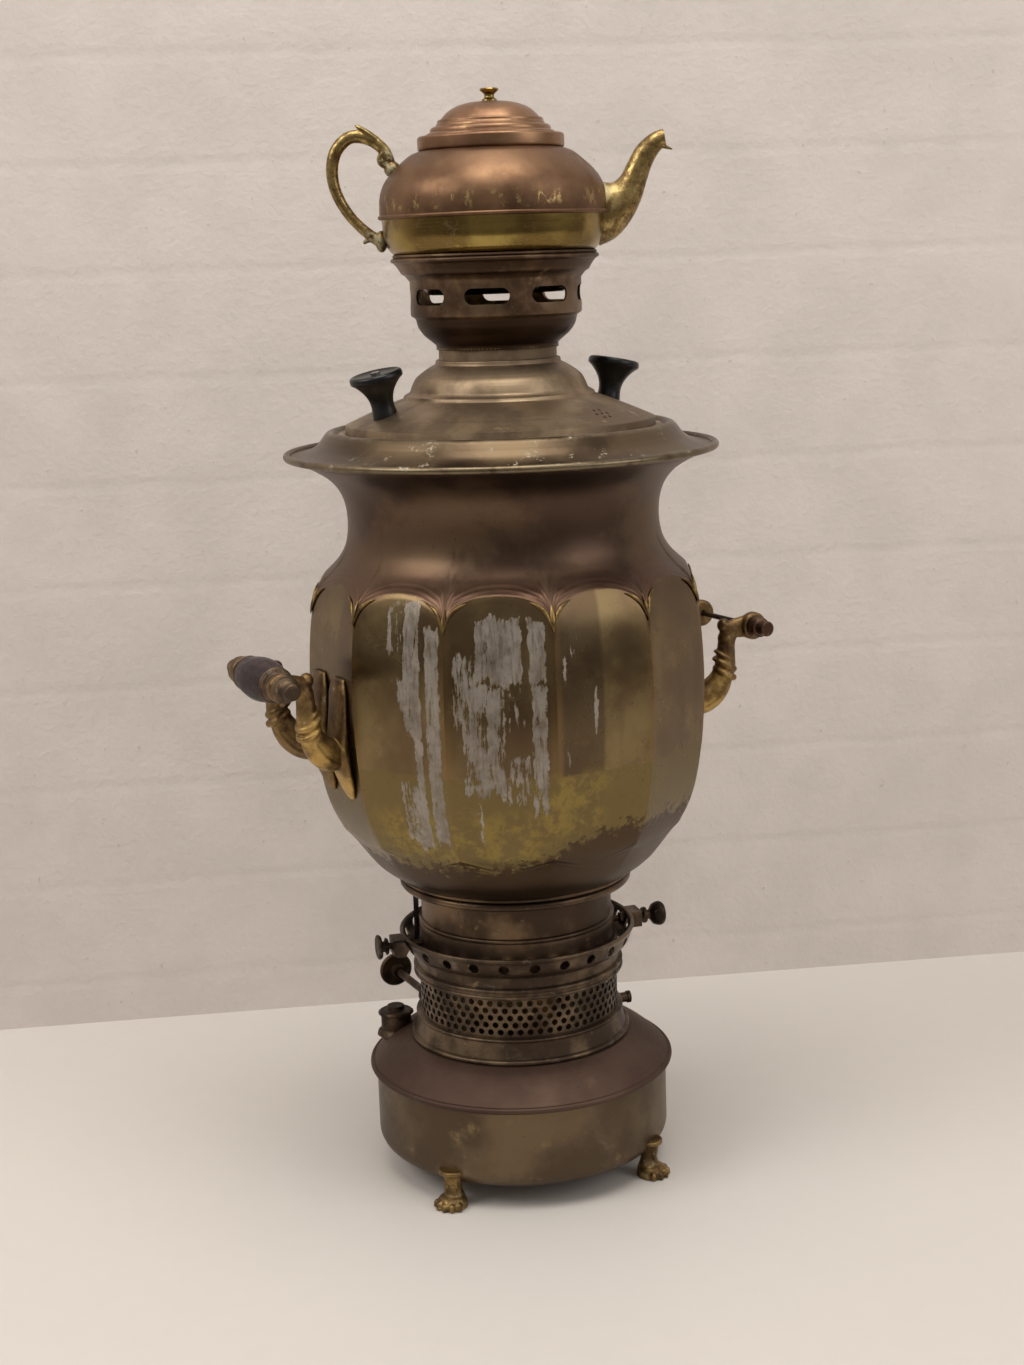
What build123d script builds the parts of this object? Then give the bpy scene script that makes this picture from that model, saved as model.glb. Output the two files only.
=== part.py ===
# Samovar with its teapot: a twelve-panel brass urn on a paraffin stove, millimetres, +Z up.
# The origin is on the floor under the urn's axis, the handles lie along X and the tap points to -Y.
from build123d import *
from math import atan2, cos, degrees, hypot, pi, radians, sin, tan
import os

# Clearances
SEAT_GAP = 0.05
LIFT_GAP = 0.4
SHAFT_GAP = 0.05

# How far the pieces are turned about the urn's axis, in degrees
STOVE_TURN = -12.0
BURNER_TURN = -3.0
CROWN_TURN = 11.5
TEAPOT_TURN = 152.5

# Oil tank
TANK_RADIUS = 91.5
TANK_WALL = 1.2
TANK_FLOOR = 14.0
TANK_CORNER = 10.0
SEAM_HEIGHT = 66.0
SEAM_BEAD = 2.0
CONE_TOP = 84.0
CONE_FLAT_OUTER = 70.0
CONE_FLAT_INNER = 57.5

# Paw feet
FOOT_COUNT = 4
FOOT_FIRST_ANGLE = 45.0
FOOT_RADIUS = 88.5
FOOT_HEAD_RADIUS = 8.6
FOOT_HEAD_THICK = 3.2
FOOT_ANKLE = 5.0
FOOT_INSTEP = 8.0
PAW_OFFSET = 2.0
PAW_RADIUS = 9.4
PAW_HEIGHT = 5.4
TOE_RADIUS = 2.9
TOE_REACH = 8.6
TOE_ANGLES = (-58.0, -29.0, 0.0, 29.0, 58.0)

# Filler
FILLER_RADIUS_FROM_AXIS = 81.5
FILLER_ANGLE = -40.0
FILLER_BORE = 8.0
FILLER_WALL = 1.6
FILLER_TOP = 88.5
CAP_RADIUS = 11.0
CAP_THICK = 2.2
CAP_GRIP_RADIUS = 5.5
CAP_GRIP_HEIGHT = 3.2

# Burner
COLLAR_FOOT_RADIUS = 68.0
COLLAR_TOP_RADIUS = 64.6
COLLAR_BORE = 58.0
COLLAR_HEIGHT = 15.5
COLLAR_BEAD = 1.6
PLATE_THICK = 1.4
PLATE_SEAT = 61.6
BASKET_RADIUS = 62.0
BASKET_WALL = 1.0
BASKET_HEIGHT = 25.0
BASKET_COLUMNS = 44
BASKET_ROWS = 5
BASKET_HOLE = 2.4
BAND_RADIUS = 64.6
BAND_BORE = 47.0
BAND_HEIGHT = 14.0
BAND_BEAD = 1.1
WICK_OUTER = 30.0
WICK_INNER = 26.0
WICK_GAP = 0.3
WICK_TUBE_WALL = 0.9
WICK_TUBE_TOP = 147.0
WICK_BOTTOM = 60.0
WICK_PROUD = 0.5
AIR_TUBE_TOP = 148.0
WICK_TRAVEL = 12.0
SPREADER_RADIUS = 21.0
SPREADER_RISE = 8.0
SPREADER_SPIGOT = 14.0

# Wick raiser
SPINDLE_RADIUS = 2.5
SPINDLE_HEIGHT = 91.0
SPINDLE_INNER_END = 16.0
SPINDLE_LENGTH = 136.0
SPUR_RADIUS = 6.4
SPUR_TEETH = 12
SPUR_WIDTH = 2.4
SPUR_SPACING = 10.0
WICK_MESH_GAP = 0.35
GLAND_RADIUS = 5.0
GLAND_LENGTH = 14.0
GLAND_FLANGE = 4.0
BRACKET_WIDTH = 8.0
BRACKET_THICK = 3.0
KNOB_RADIUS = 11.2
KNOB_THICK = 2.6
KNOB_BOSS_RADIUS = 4.4
KNOB_BOSS_LENGTH = 7.0

# Side stub on the collar
STUB_ANGLE = 170.0
STUB_RADIUS = 3.2
STUB_BORE = 1.4
STUB_LENGTH = 11.0
STUB_HEIGHT = 92.5

# Gallery
GALLERY_RIM_RADIUS = 72.7
GALLERY_RIM_BEAD = 1.3
GALLERY_HEIGHT = 13.0
GALLERY_FOOT_RADIUS = 66.0
GALLERY_WALL = 1.1
GALLERY_HOLES = 24
GALLERY_HOLE_RADIUS = 3.2
FINGER_COUNT = 12
FINGER_WIDTH = 9.0
FINGER_THICK = 0.7
FINGER_HEIGHT = 5.8
CLAMP_WIDTH = 14.0
CLAMP_DEPTH = 7.0
CLAMP_HEIGHT = 10.0
CLAMP_NUT = 5.0
SCREW_RADIUS = 2.0
SCREW_HEIGHT = 147.0
STRAP_ANGLE = -37.0
STRAP_WIDTH = 9.0
STRAP_THICK = 1.4

# Urn sleeve, base ring and flue
SLEEVE_RADIUS = 59.3
SLEEVE_WALL = 1.2
SLEEVE_FLARE = 1.8
SLEEVE_BEAD_HEIGHT = 159.0
BASE_RING_RADIUS = 72.0
BASE_RING_HEIGHT = 9.0
URN_FLOOR = 190.0
URN_FLOOR_THICK = 2.0
FLUE_WALL = 1.2
FLUE_FOOT_RADIUS = 56.0
FLUE_TOP_RADIUS = 30.5
FLUE_TOP = 501.0

# Urn body: apothem of the flat panels, and radius of the round vase that trims them, at heights in mm
PANELS = 12
URN_WALL = 1.3
URN_MOUTH = 448.0
PANEL_LINE = ((88.5, 200), (99.8, 218), (109.3, 239), (115.2, 268), (117.7, 302),
              (117.2, 333), (114.4, 360.5), (109.8, 377.5), (105.5, 385))
VASE_LINE = ((72, 190), (86.4, 200), (99.5, 217), (108.2, 226.5), (118, 245), (122.6, 268), (123.4, 302),
             (122.4, 330), (120.7, 349), (118.4, 360.5), (115.9, 368.5), (113.3, 373), (109.8, 377.5),
             (104.5, 382.5), (99.6, 388), (95.4, 396), (93.6, 407), (94.4, 419), (97.8, 428.5),
             (104, 436), (112.5, 441.6), (119.5, 445.2), (122.5, 448))

# Rim ring
RIM_RADIUS = 130.0
RIM_BEAD = 2.2
RIM_WALL = 1.6
LIP_RADIUS = 101.5
LIP_HEIGHT = 463.5
LEDGE_RADIUS = 98.5
LEDGE_BORE = 89.0
LEDGE_DEPTH = 3.0

# Lid
LID_WALL = 1.2
LID_EDGE_RADIUS = 92.0
LID_SKIRT_DEPTH = 11.0
LID_NECK_RADIUS = 35.0
LID_NECK_TOP = 509.0
LID_KNOB_RADIUS = 75.0
LID_KNOB_LEAN = 12.0
LID_KNOB_TOP = 15.6
LID_KNOB_STEM = 7.2
LID_KNOB_HEIGHT = 25.0
LID_STUD_RADIUS = 2.0
VENT_ANGLE = 110.0
VENT_RADIUS = 79.0
VENT_HOLE = 1.1
VENT_PITCH = 4.6

# Crown
CROWN_FLANGE_RADIUS = 61.0
CROWN_FLANGE_TOP = 562.5
CROWN_SEAT_BORE = 57.9
CROWN_CYLINDER_RADIUS = 50.6
CROWN_WALL = 1.3
CROWN_SLOTS = 8
CROWN_SLOT_HEIGHT = 9.2
CROWN_SLOT_LENGTH = 26.0
CROWN_SLOT_LEVEL = 540.0
CROWN_SPIGOT_RADIUS = 33.3
CROWN_SPIGOT_DEPTH = 8.0

# Teapot
TEAPOT_SEAM_RADIUS = 67.0
TEAPOT_SEAM_HEIGHT = 585.0
TEAPOT_SEAM_BEAD = 1.2
TEAPOT_WALL = 1.1
TEAPOT_BASE_RADIUS = 40.0
TEAPOT_BASE_HEIGHT = 541.0
TEAPOT_NECK_RADIUS = 42.8
TEAPOT_NECK_LOW = 622.5
TEAPOT_NECK_TOP = 631.0
TEAPOT_MOUTH_RADIUS = 36.0
SPOUT_WALL = 1.3
TEAPOT_HANDLE_THICK = 3.4
TEAPOT_KNOB_RADIUS = 5.6
TEAPOT_KNOB_HEIGHT = 7.4
TEAPOT_LID_TOP = 650.0

# Handles
HANDLE_ROD_REACH = 159.6
HANDLE_ROD_HEIGHT = 328.0
HANDLE_ROD_RADIUS = 1.7
HANDLE_ROOT_SPREAD = 14.0
HANDLE_EYE_SPREAD = 30.0
HANDLE_EYE_RADIUS = 8.7
HANDLE_EYE_THICK = 7.0
HANDLE_LEAF_WIDTH = 15.0
HANDLE_LEAF_THICK = 3.0
GRIP_RADIUS = 12.9
GRIP_END_RADIUS = 9.8
GRIP_WOOD_HALF = 20.5
FERRULE_FLARE = 0.8
FERRULE_END_RADIUS = 8.2
ROD_BOSS_RADIUS = 6.2
ROD_BOSS_LENGTH = 7.5
ROD_END_RADIUS = 4.8
ROD_END_LENGTH = 6.0

# Tap
TAP_HEIGHT = 243.0
TAP_PLATE_RADIUS = 21.0
TAP_PLATE_THICK = 3.0
TAP_BARREL_RADIUS = 8.5
TAP_BORE = 4.5
TAP_REACH = 60.0
TAP_PLUG_RADIUS = 7.0
TAP_CASE_RADIUS = 11.5
TAP_CASE_HALF = 15.0
TAP_SPOUT_DROP = 40.0
TAP_KEY_STEM = 34.0
TAP_TAIL_RADIUS = 3.0
TAP_TAIL_LENGTH = 11.0


# Drawing helpers

def place(point):
    """A point (radius, height) of a turned outline as a point in the XZ plane."""
    return (point[0], 0, point[1])


def curve_through(points):
    """A line through two points, an arc through three, or a smooth curve through more."""
    if len(points) == 2:
        return Line(place(points[0]), place(points[1]))
    if len(points) == 3:
        return ThreePointArc(*[place(p) for p in points])
    return Spline(*[place(p) for p in points])


def shifted(points, wall):
    """The points moved by a wall's thickness to the right of the way that the line runs."""
    moved = []
    last = len(points) - 1
    for index, (radius, height) in enumerate(points):
        before = points[max(index - 1, 0)]
        after = points[min(index + 1, last)]
        steps = []
        for start, end in ((before, (radius, height)), ((radius, height), after)):
            length = hypot(end[0] - start[0], end[1] - start[1])
            if length > 0:
                steps.append(((end[0] - start[0]) / length, (end[1] - start[1]) / length))
        way = (sum(s[0] for s in steps), sum(s[1] for s in steps))
        size = hypot(*way)
        way = (way[0] / size, way[1] / size)
        stretch = wall / max(way[0] * steps[0][0] + way[1] * steps[0][1], 0.5)
        if radius == 0:
            moved.append((0, height - wall))
        else:
            moved.append((radius + way[1] * stretch, height - way[0] * stretch))
    return moved


def spun(edges):
    """A solid turned about the Z axis from the edges of a closed outline."""
    return revolve(make_face(edges), Axis.Z)


def turned(points):
    """A solid turned from a closed outline of straight edges."""
    return spun([Polyline(*[place(p) for p in points], close=True)])


def turned_sheet(stretches, wall):
    """A spun sheet of one thickness: its outer line runs outwards or down, and the wall lies on its right."""
    outer = [stretches[0][0]]
    for stretch in stretches:
        outer += stretch[1:]
    inner = shifted(outer, wall)
    edges = [curve_through(stretch) for stretch in stretches]
    first = 0
    for stretch in stretches:
        last = first + len(stretch) - 1
        edges.append(curve_through(inner[first:last + 1]))
        first = last
    edges.append(Line(place(outer[-1]), place(inner[-1])))
    edges.append(Line(place(outer[0]), place(inner[0])))
    return spun(edges)


def bead(radius, height, thick):
    """A round bead that runs about the Z axis."""
    return Pos(0, 0, height) * Torus(radius, thick)


def tube(outer, inner, low, high):
    """An upright tube between two heights."""
    return Pos(0, 0, (low + high) / 2) * (Cylinder(outer, high - low) - Cylinder(inner, high - low))


def around(angle, shape):
    """The shape turned about the Z axis."""
    return Rot(0, 0, angle) * shape


def along_x(shape):
    """A shape that was drawn along +Z, laid along +X."""
    return Rot(0, 90, 0) * shape


def save(name, shape, turn=0.0):
    """Write one piece, turned to its place about the axis, as its own STEP file."""
    piece = around(turn, shape)
    piece.label = name
    export_step(piece, f"parts/{name}.step")


# Stove: oil tank, feet and filler

def tank_block():
    """The outer form of the drum, used to fit the feet to it."""
    corner = (TANK_RADIUS - TANK_CORNER * (1 - sin(pi / 4)), TANK_FLOOR + TANK_CORNER * (1 - cos(pi / 4)))
    return spun([
        Line(place((0, TANK_FLOOR)), place((TANK_RADIUS - TANK_CORNER, TANK_FLOOR))),
        curve_through([(TANK_RADIUS - TANK_CORNER, TANK_FLOOR), corner,
                       (TANK_RADIUS, TANK_FLOOR + TANK_CORNER)]),
        Line(place((TANK_RADIUS, TANK_FLOOR + TANK_CORNER)), place((TANK_RADIUS, SEAM_HEIGHT))),
        Line(place((TANK_RADIUS, SEAM_HEIGHT)), place((0, SEAM_HEIGHT))),
        Line(place((0, SEAM_HEIGHT)), place((0, TANK_FLOOR))),
    ])


def tank_drum():
    """A drawn pan: flat floor with the air tube's hole, round corner and upright wall."""
    floor_edge = TANK_RADIUS - TANK_CORNER
    corner = (TANK_RADIUS - TANK_CORNER * (1 - sin(pi / 4)), TANK_FLOOR + TANK_CORNER * (1 - cos(pi / 4)))
    wall_foot = (TANK_RADIUS, TANK_FLOOR + TANK_CORNER)
    outer = [(AIR_TUBE_OUTER + SEAT_GAP, TANK_FLOOR), (floor_edge, TANK_FLOOR)]
    upright = [wall_foot, (TANK_RADIUS, SEAM_HEIGHT)]
    return turned_sheet([upright[::-1], [wall_foot, corner, (floor_edge, TANK_FLOOR)], outer[::-1]], TANK_WALL)


def cone_height(radius):
    """Height of the cone's outer face at a radius."""
    share = (radius - CONE_FLAT_OUTER) / (TANK_RADIUS + SEAM_BEAD - CONE_FLAT_OUTER)
    return CONE_TOP - (CONE_TOP - SEAM_HEIGHT - SEAM_BEAD) * share ** 1.25


def tank_top():
    """The spun cone over the drum, with its rolled seam and the flat that carries the burner."""
    seam = TANK_RADIUS + SEAM_BEAD + SEAT_GAP
    slope = [(CONE_FLAT_OUTER + (TANK_RADIUS - CONE_FLAT_OUTER) * k / 4,) for k in range(5)]
    slope = [(radius, cone_height(radius)) for radius, in slope]
    sheet = turned_sheet([[(CONE_FLAT_INNER, CONE_TOP), slope[0]], slope], TANK_WALL)
    flange = turned([(TANK_RADIUS - 1.0, SEAM_HEIGHT + SEAT_GAP), (seam, SEAM_HEIGHT + SEAT_GAP),
                     (seam, cone_height(TANK_RADIUS)), (TANK_RADIUS - 1.0, cone_height(TANK_RADIUS) - 0.2)])
    hole = around(FILLER_ANGLE - STOVE_TURN,
                  Pos(FILLER_RADIUS_FROM_AXIS, 0, CONE_TOP) * Cylinder(FILLER_BORE + FILLER_WALL + SEAT_GAP, 40))
    return sheet + flange + bead(seam, SEAM_HEIGHT, SEAM_BEAD) - hole


def paw_foot():
    """One cast paw foot at +X: a round head under the drum's corner, a waisted ankle and a paw with its toes."""
    head_top = TANK_FLOOR + TANK_CORNER
    head_low = head_top - FOOT_HEAD_THICK
    ankle = turned([(0, head_top), (FOOT_HEAD_RADIUS - 0.8, head_top), (FOOT_HEAD_RADIUS, head_top - 0.8),
                    (FOOT_HEAD_RADIUS, head_low + 0.8), (FOOT_ANKLE + 2.4, head_low), (FOOT_ANKLE + 0.9, head_low - 3),
                    (FOOT_ANKLE, (head_low + FOOT_INSTEP) / 2), (FOOT_ANKLE + 0.7, FOOT_INSTEP),
                    (FOOT_ANKLE + 2.6, PAW_HEIGHT), (FOOT_ANKLE + 2.6, 0), (0, 0)])
    paw = turned([(0, FOOT_INSTEP), (PAW_RADIUS - 4.4, FOOT_INSTEP), (PAW_RADIUS - 1.4, PAW_HEIGHT),
                  (PAW_RADIUS, PAW_HEIGHT / 2), (PAW_RADIUS, 0), (0, 0)])
    foot = Pos(FOOT_RADIUS, 0, 0) * ankle + Pos(FOOT_RADIUS + PAW_OFFSET, 0, 0) * paw
    for angle in TOE_ANGLES:
        toe = Pos(TOE_REACH, 0, 0) * Sphere(TOE_RADIUS) + along_x(
            Cylinder(TOE_RADIUS, TOE_REACH, align=(Align.CENTER, Align.CENTER, Align.MIN)))
        foot += Pos(FOOT_RADIUS + PAW_OFFSET, 0, TOE_RADIUS - 0.3) * around(angle, toe)
    floor = Pos(FOOT_RADIUS, 0, -TOE_RADIUS) * Box(4 * PAW_RADIUS, 4 * PAW_RADIUS, 2 * TOE_RADIUS)
    return foot - tank_block() - floor


def filler_neck():
    """A short tube soldered through the cone."""
    foot = cone_height(FILLER_RADIUS_FROM_AXIS + FILLER_BORE) - 3
    return around(FILLER_ANGLE - STOVE_TURN, Pos(FILLER_RADIUS_FROM_AXIS, 0, 0) * tube(
        FILLER_BORE + FILLER_WALL, FILLER_BORE, foot, FILLER_TOP))


def filler_cap():
    """A flat screw cap with a plug that fills the neck and a knurled grip."""
    cap = turned([(0, FILLER_TOP - 5), (FILLER_BORE - LIFT_GAP, FILLER_TOP - 5), (FILLER_BORE - LIFT_GAP, FILLER_TOP),
                  (CAP_RADIUS, FILLER_TOP), (CAP_RADIUS, FILLER_TOP + CAP_THICK - 1),
                  (CAP_RADIUS - 1, FILLER_TOP + CAP_THICK), (CAP_GRIP_RADIUS, FILLER_TOP + CAP_THICK + 0.6),
                  (CAP_GRIP_RADIUS, FILLER_TOP + CAP_THICK + CAP_GRIP_HEIGHT),
                  (0, FILLER_TOP + CAP_THICK + CAP_GRIP_HEIGHT)])
    return around(FILLER_ANGLE - STOVE_TURN, Pos(FILLER_RADIUS_FROM_AXIS, 0, 0) * cap)


# Stove: burner

AIR_TUBE_OUTER = WICK_INNER - WICK_GAP
AIR_TUBE_INNER = AIR_TUBE_OUTER - WICK_TUBE_WALL
WICK_TUBE_INNER = WICK_OUTER + WICK_GAP
WICK_TUBE_OUTER = WICK_TUBE_INNER + WICK_TUBE_WALL
COLLAR_TOP = CONE_TOP + COLLAR_HEIGHT
BASKET_TOP = COLLAR_TOP + BASKET_HEIGHT
BAND_TOP = BASKET_TOP + BAND_HEIGHT
SPINDLE_OFFSET = WICK_OUTER + WICK_MESH_GAP + SPUR_RADIUS


def on_spindle(shape):
    """A shape drawn along +Z from the spindle's inner end, laid along the spindle, which points to -Y."""
    return Pos(SPINDLE_OFFSET, SPINDLE_INNER_END, SPINDLE_HEIGHT) * (Rot(90, 0, 0) * shape)


def spindle_rod(radius, start, length):
    """A round rod on the spindle's line, from a distance along it."""
    return on_spindle(Pos(0, 0, start + length / 2) * Cylinder(radius, length))


def gland_start():
    """How far along the spindle the collar's outer face lies."""
    return SPINDLE_INNER_END + (COLLAR_TOP_RADIUS ** 2 - SPINDLE_OFFSET ** 2) ** 0.5 - 2.0


def burner_collar():
    """The turned collar on the cone, with a foot bead, a seat for the plate and the spindle's hole."""
    ring = turned([(COLLAR_BORE, CONE_TOP), (COLLAR_FOOT_RADIUS, CONE_TOP), (COLLAR_FOOT_RADIUS, CONE_TOP + 2.4),
                   (COLLAR_TOP_RADIUS + 1.6, CONE_TOP + 4), (COLLAR_TOP_RADIUS, COLLAR_TOP - 1.5),
                   (COLLAR_TOP_RADIUS, COLLAR_TOP), (PLATE_SEAT, COLLAR_TOP), (PLATE_SEAT, COLLAR_TOP - PLATE_THICK),
                   (COLLAR_BORE, COLLAR_TOP - PLATE_THICK)])
    ring += bead(COLLAR_FOOT_RADIUS - 0.4, CONE_TOP + COLLAR_BEAD, COLLAR_BEAD)
    ring += bead(COLLAR_TOP_RADIUS - 0.3, COLLAR_TOP - 1.2, 0.9)
    stub_hole = around(STUB_ANGLE - BURNER_TURN, Pos(COLLAR_FOOT_RADIUS, 0, STUB_HEIGHT) * along_x(
        Cylinder(STUB_RADIUS + SEAT_GAP, 40)))
    return ring - spindle_rod(GLAND_RADIUS + SEAT_GAP, 0, SPINDLE_LENGTH) - stub_hole


def burner_plate():
    """The annular plate in the collar's seat that carries the outer wick tube."""
    return tube(PLATE_SEAT - SEAT_GAP, WICK_TUBE_OUTER + SEAT_GAP, COLLAR_TOP - PLATE_THICK, COLLAR_TOP)


def burner_basket():
    """The air basket: a faceted drum pierced with rows of six-sided holes, every other row set half a pitch on."""
    bottom = Plane.XY.offset(COLLAR_TOP)
    wall = extrude(bottom * (RegularPolygon(BASKET_RADIUS, BASKET_COLUMNS)
                             - RegularPolygon(BASKET_RADIUS - BASKET_WALL, BASKET_COLUMNS)), BASKET_HEIGHT)
    pitch = BASKET_HEIGHT / (BASKET_ROWS + 0.4)
    punch = Pos(BASKET_RADIUS, 0, 0) * along_x(extrude(RegularPolygon(BASKET_HOLE, 6), 4, both=True))
    punches = []
    for row in range(BASKET_ROWS):
        level = COLLAR_TOP + pitch * (row + 0.7)
        for column in range(BASKET_COLUMNS):
            angle = 360 / BASKET_COLUMNS * (column + 0.5 * (row % 2))
            punches.append(around(angle, Pos(0, 0, level) * punch))
    return wall.cut(*punches)


def burner_band():
    """The band over the basket: two rolled beads outside and a flat top that carries the gallery and the urn."""
    ring = turned([(BAND_RADIUS - 3.2, BASKET_TOP), (BAND_RADIUS, BASKET_TOP), (BAND_RADIUS, BASKET_TOP + 5.6),
                   (BAND_RADIUS - 1.2, BASKET_TOP + 6.6), (BAND_RADIUS - 1.2, BAND_TOP), (BAND_BORE, BAND_TOP),
                   (BAND_BORE, BAND_TOP - 1.4), (BAND_RADIUS - 3.2, BAND_TOP - 1.4)])
    ring += bead(BAND_RADIUS, BASKET_TOP + BAND_BEAD, BAND_BEAD)
    return ring + bead(BAND_RADIUS, BASKET_TOP + 5.2, BAND_BEAD)


def outer_wick_tube():
    """The tube round the wick, with two slots for the spur wheels."""
    body = tube(WICK_TUBE_OUTER, WICK_TUBE_INNER, COLLAR_TOP - 22, WICK_TUBE_TOP)
    slot_reach = SPUR_RADIUS + 0.8
    for side in (-0.5, 0.5):
        body -= Pos(SPINDLE_OFFSET, side * SPUR_SPACING, SPINDLE_HEIGHT) * Box(
            2 * slot_reach, SPUR_WIDTH + 1.2, 2 * slot_reach)
    return body


def inner_air_tube():
    """The open draught tube from the tank's floor up to the flame, with a flange under the floor."""
    flange_low = TANK_FLOOR - 1.2
    return tube(AIR_TUBE_OUTER, AIR_TUBE_INNER, flange_low, AIR_TUBE_TOP) + tube(
        AIR_TUBE_OUTER + 4, AIR_TUBE_INNER, flange_low, TANK_FLOOR)


def wick():
    """The round woven wick between the two tubes."""
    return tube(WICK_OUTER, WICK_INNER, WICK_BOTTOM, WICK_TUBE_TOP + WICK_PROUD)


def flame_spreader():
    """The domed button over the flame, on a stem and a cross that stands in the air tube."""
    spigot = AIR_TUBE_INNER - SEAT_GAP
    foot = AIR_TUBE_TOP - SPREADER_SPIGOT
    top = AIR_TUBE_TOP + SPREADER_RISE
    button = turned([(0, AIR_TUBE_TOP + 1), (SPREADER_RADIUS - 5, AIR_TUBE_TOP + 1), (SPREADER_RADIUS, top - 3),
                     (SPREADER_RADIUS - 1, top - 1.4), (SPREADER_RADIUS * 0.6, top), (0, top + 0.8)])
    stem = Pos(0, 0, (foot + AIR_TUBE_TOP) / 2 + 0.6) * Cylinder(3, SPREADER_SPIGOT + 1.2)
    cross = Pos(0, 0, foot + 2) * (Box(2 * spigot, 2, 4) + Box(2, 2 * spigot, 4))
    return button + stem + (cross & (Pos(0, 0, foot + 2) * Cylinder(spigot, 4)))


def spur_wheel(along):
    """One toothed wheel on the spindle that bites into the wick."""
    tooth = Pos(SPUR_RADIUS - 1.1, 0, 0) * Box(2.2, 1.3, SPUR_WIDTH)
    wheel = Cylinder(SPUR_RADIUS - 1.4, SPUR_WIDTH)
    for k in range(SPUR_TEETH):
        wheel += around(360 * k / SPUR_TEETH, tooth)
    return on_spindle(Pos(0, 0, along) * wheel)


def wick_spindle():
    """The long spindle, with its two spur wheels."""
    shaft = spindle_rod(SPINDLE_RADIUS, 0, SPINDLE_LENGTH)
    return (shaft + spur_wheel(SPINDLE_INNER_END - SPUR_SPACING / 2)
            + spur_wheel(SPINDLE_INNER_END + SPUR_SPACING / 2))


def spindle_gland():
    """The screwed gland in the collar that the spindle turns in."""
    start = gland_start()
    gland = spindle_rod(GLAND_RADIUS, start - 8, GLAND_LENGTH + 8)
    gland += spindle_rod(GLAND_RADIUS + 1.3, start + GLAND_LENGTH - GLAND_FLANGE, GLAND_FLANGE)
    return gland - spindle_rod(SPINDLE_RADIUS + SHAFT_GAP, 0, SPINDLE_LENGTH)


def spindle_bracket():
    """The ear under the burner plate that holds the spindle's inner end."""
    top = COLLAR_TOP - PLATE_THICK
    foot = SPINDLE_HEIGHT - SPINDLE_RADIUS - 2.5
    ear = Pos(SPINDLE_OFFSET + 1.5, SPINDLE_INNER_END - BRACKET_THICK / 2 - 1, (top + foot) / 2) * Box(
        BRACKET_WIDTH, BRACKET_THICK, top - foot)
    return ear - spindle_rod(SPINDLE_RADIUS + SHAFT_GAP, -1, SPINDLE_LENGTH)


def wick_knob():
    """The disc knob with its boss on the spindle's outer end."""
    end = SPINDLE_LENGTH
    knob = spindle_rod(KNOB_RADIUS, end - KNOB_THICK + 1, KNOB_THICK)
    knob += spindle_rod(KNOB_BOSS_RADIUS, end - KNOB_THICK - KNOB_BOSS_LENGTH + 1, KNOB_BOSS_LENGTH)
    return knob - spindle_rod(SPINDLE_RADIUS, 0, SPINDLE_LENGTH)


def side_stub():
    """A short blind tube that stands out of the collar."""
    body = Cylinder(STUB_RADIUS, STUB_LENGTH) + Pos(0, 0, STUB_LENGTH / 2 - 1) * Cylinder(STUB_RADIUS + 0.7, 2)
    body -= Pos(0, 0, STUB_LENGTH / 2 - 2) * Cylinder(STUB_BORE, 6)
    reach = COLLAR_BORE + 1.5 + STUB_LENGTH / 2 + 4
    return around(STUB_ANGLE - BURNER_TURN, Pos(reach, 0, STUB_HEIGHT) * along_x(body))


# Stove: gallery

GALLERY_RIM_HEIGHT = BAND_TOP + GALLERY_HEIGHT
SLEEVE_FOOT = BAND_TOP


def gallery_ring():
    """The flared gallery with a rolled rim, round holes and a flat foot on the burner band."""
    flare = [(GALLERY_RIM_RADIUS, GALLERY_RIM_HEIGHT), (GALLERY_RIM_RADIUS - 0.6, BAND_TOP + 8),
             (GALLERY_FOOT_RADIUS + 1.8, BAND_TOP + 2.2)]
    foot = [flare[-1], (GALLERY_FOOT_RADIUS, BAND_TOP)]
    floor = [foot[-1], (GALLERY_FOOT_RADIUS - 2.0, BAND_TOP)]
    ring = turned_sheet([flare, foot, floor], GALLERY_WALL)
    ring += bead(GALLERY_RIM_RADIUS - 0.4, GALLERY_RIM_HEIGHT, GALLERY_RIM_BEAD)
    level = BAND_TOP + 7.4
    hole = Pos(GALLERY_RIM_RADIUS, 0, level) * along_x(Cylinder(GALLERY_HOLE_RADIUS, 14))
    holes = [around(360 / GALLERY_HOLES * (k + 0.5), hole) for k in range(GALLERY_HOLES)]
    ring = ring.cut(*holes)
    for turn in (0, 180):
        ring -= around(turn, clamp_passage())
    return ring


def clamp_passage():
    """The space that a clamp's boss takes through the gallery's wall."""
    return Pos(GALLERY_RIM_RADIUS, 0, SCREW_HEIGHT) * along_x(Cylinder(SCREW_RADIUS + 1.6 + SEAT_GAP, 14))


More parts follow.
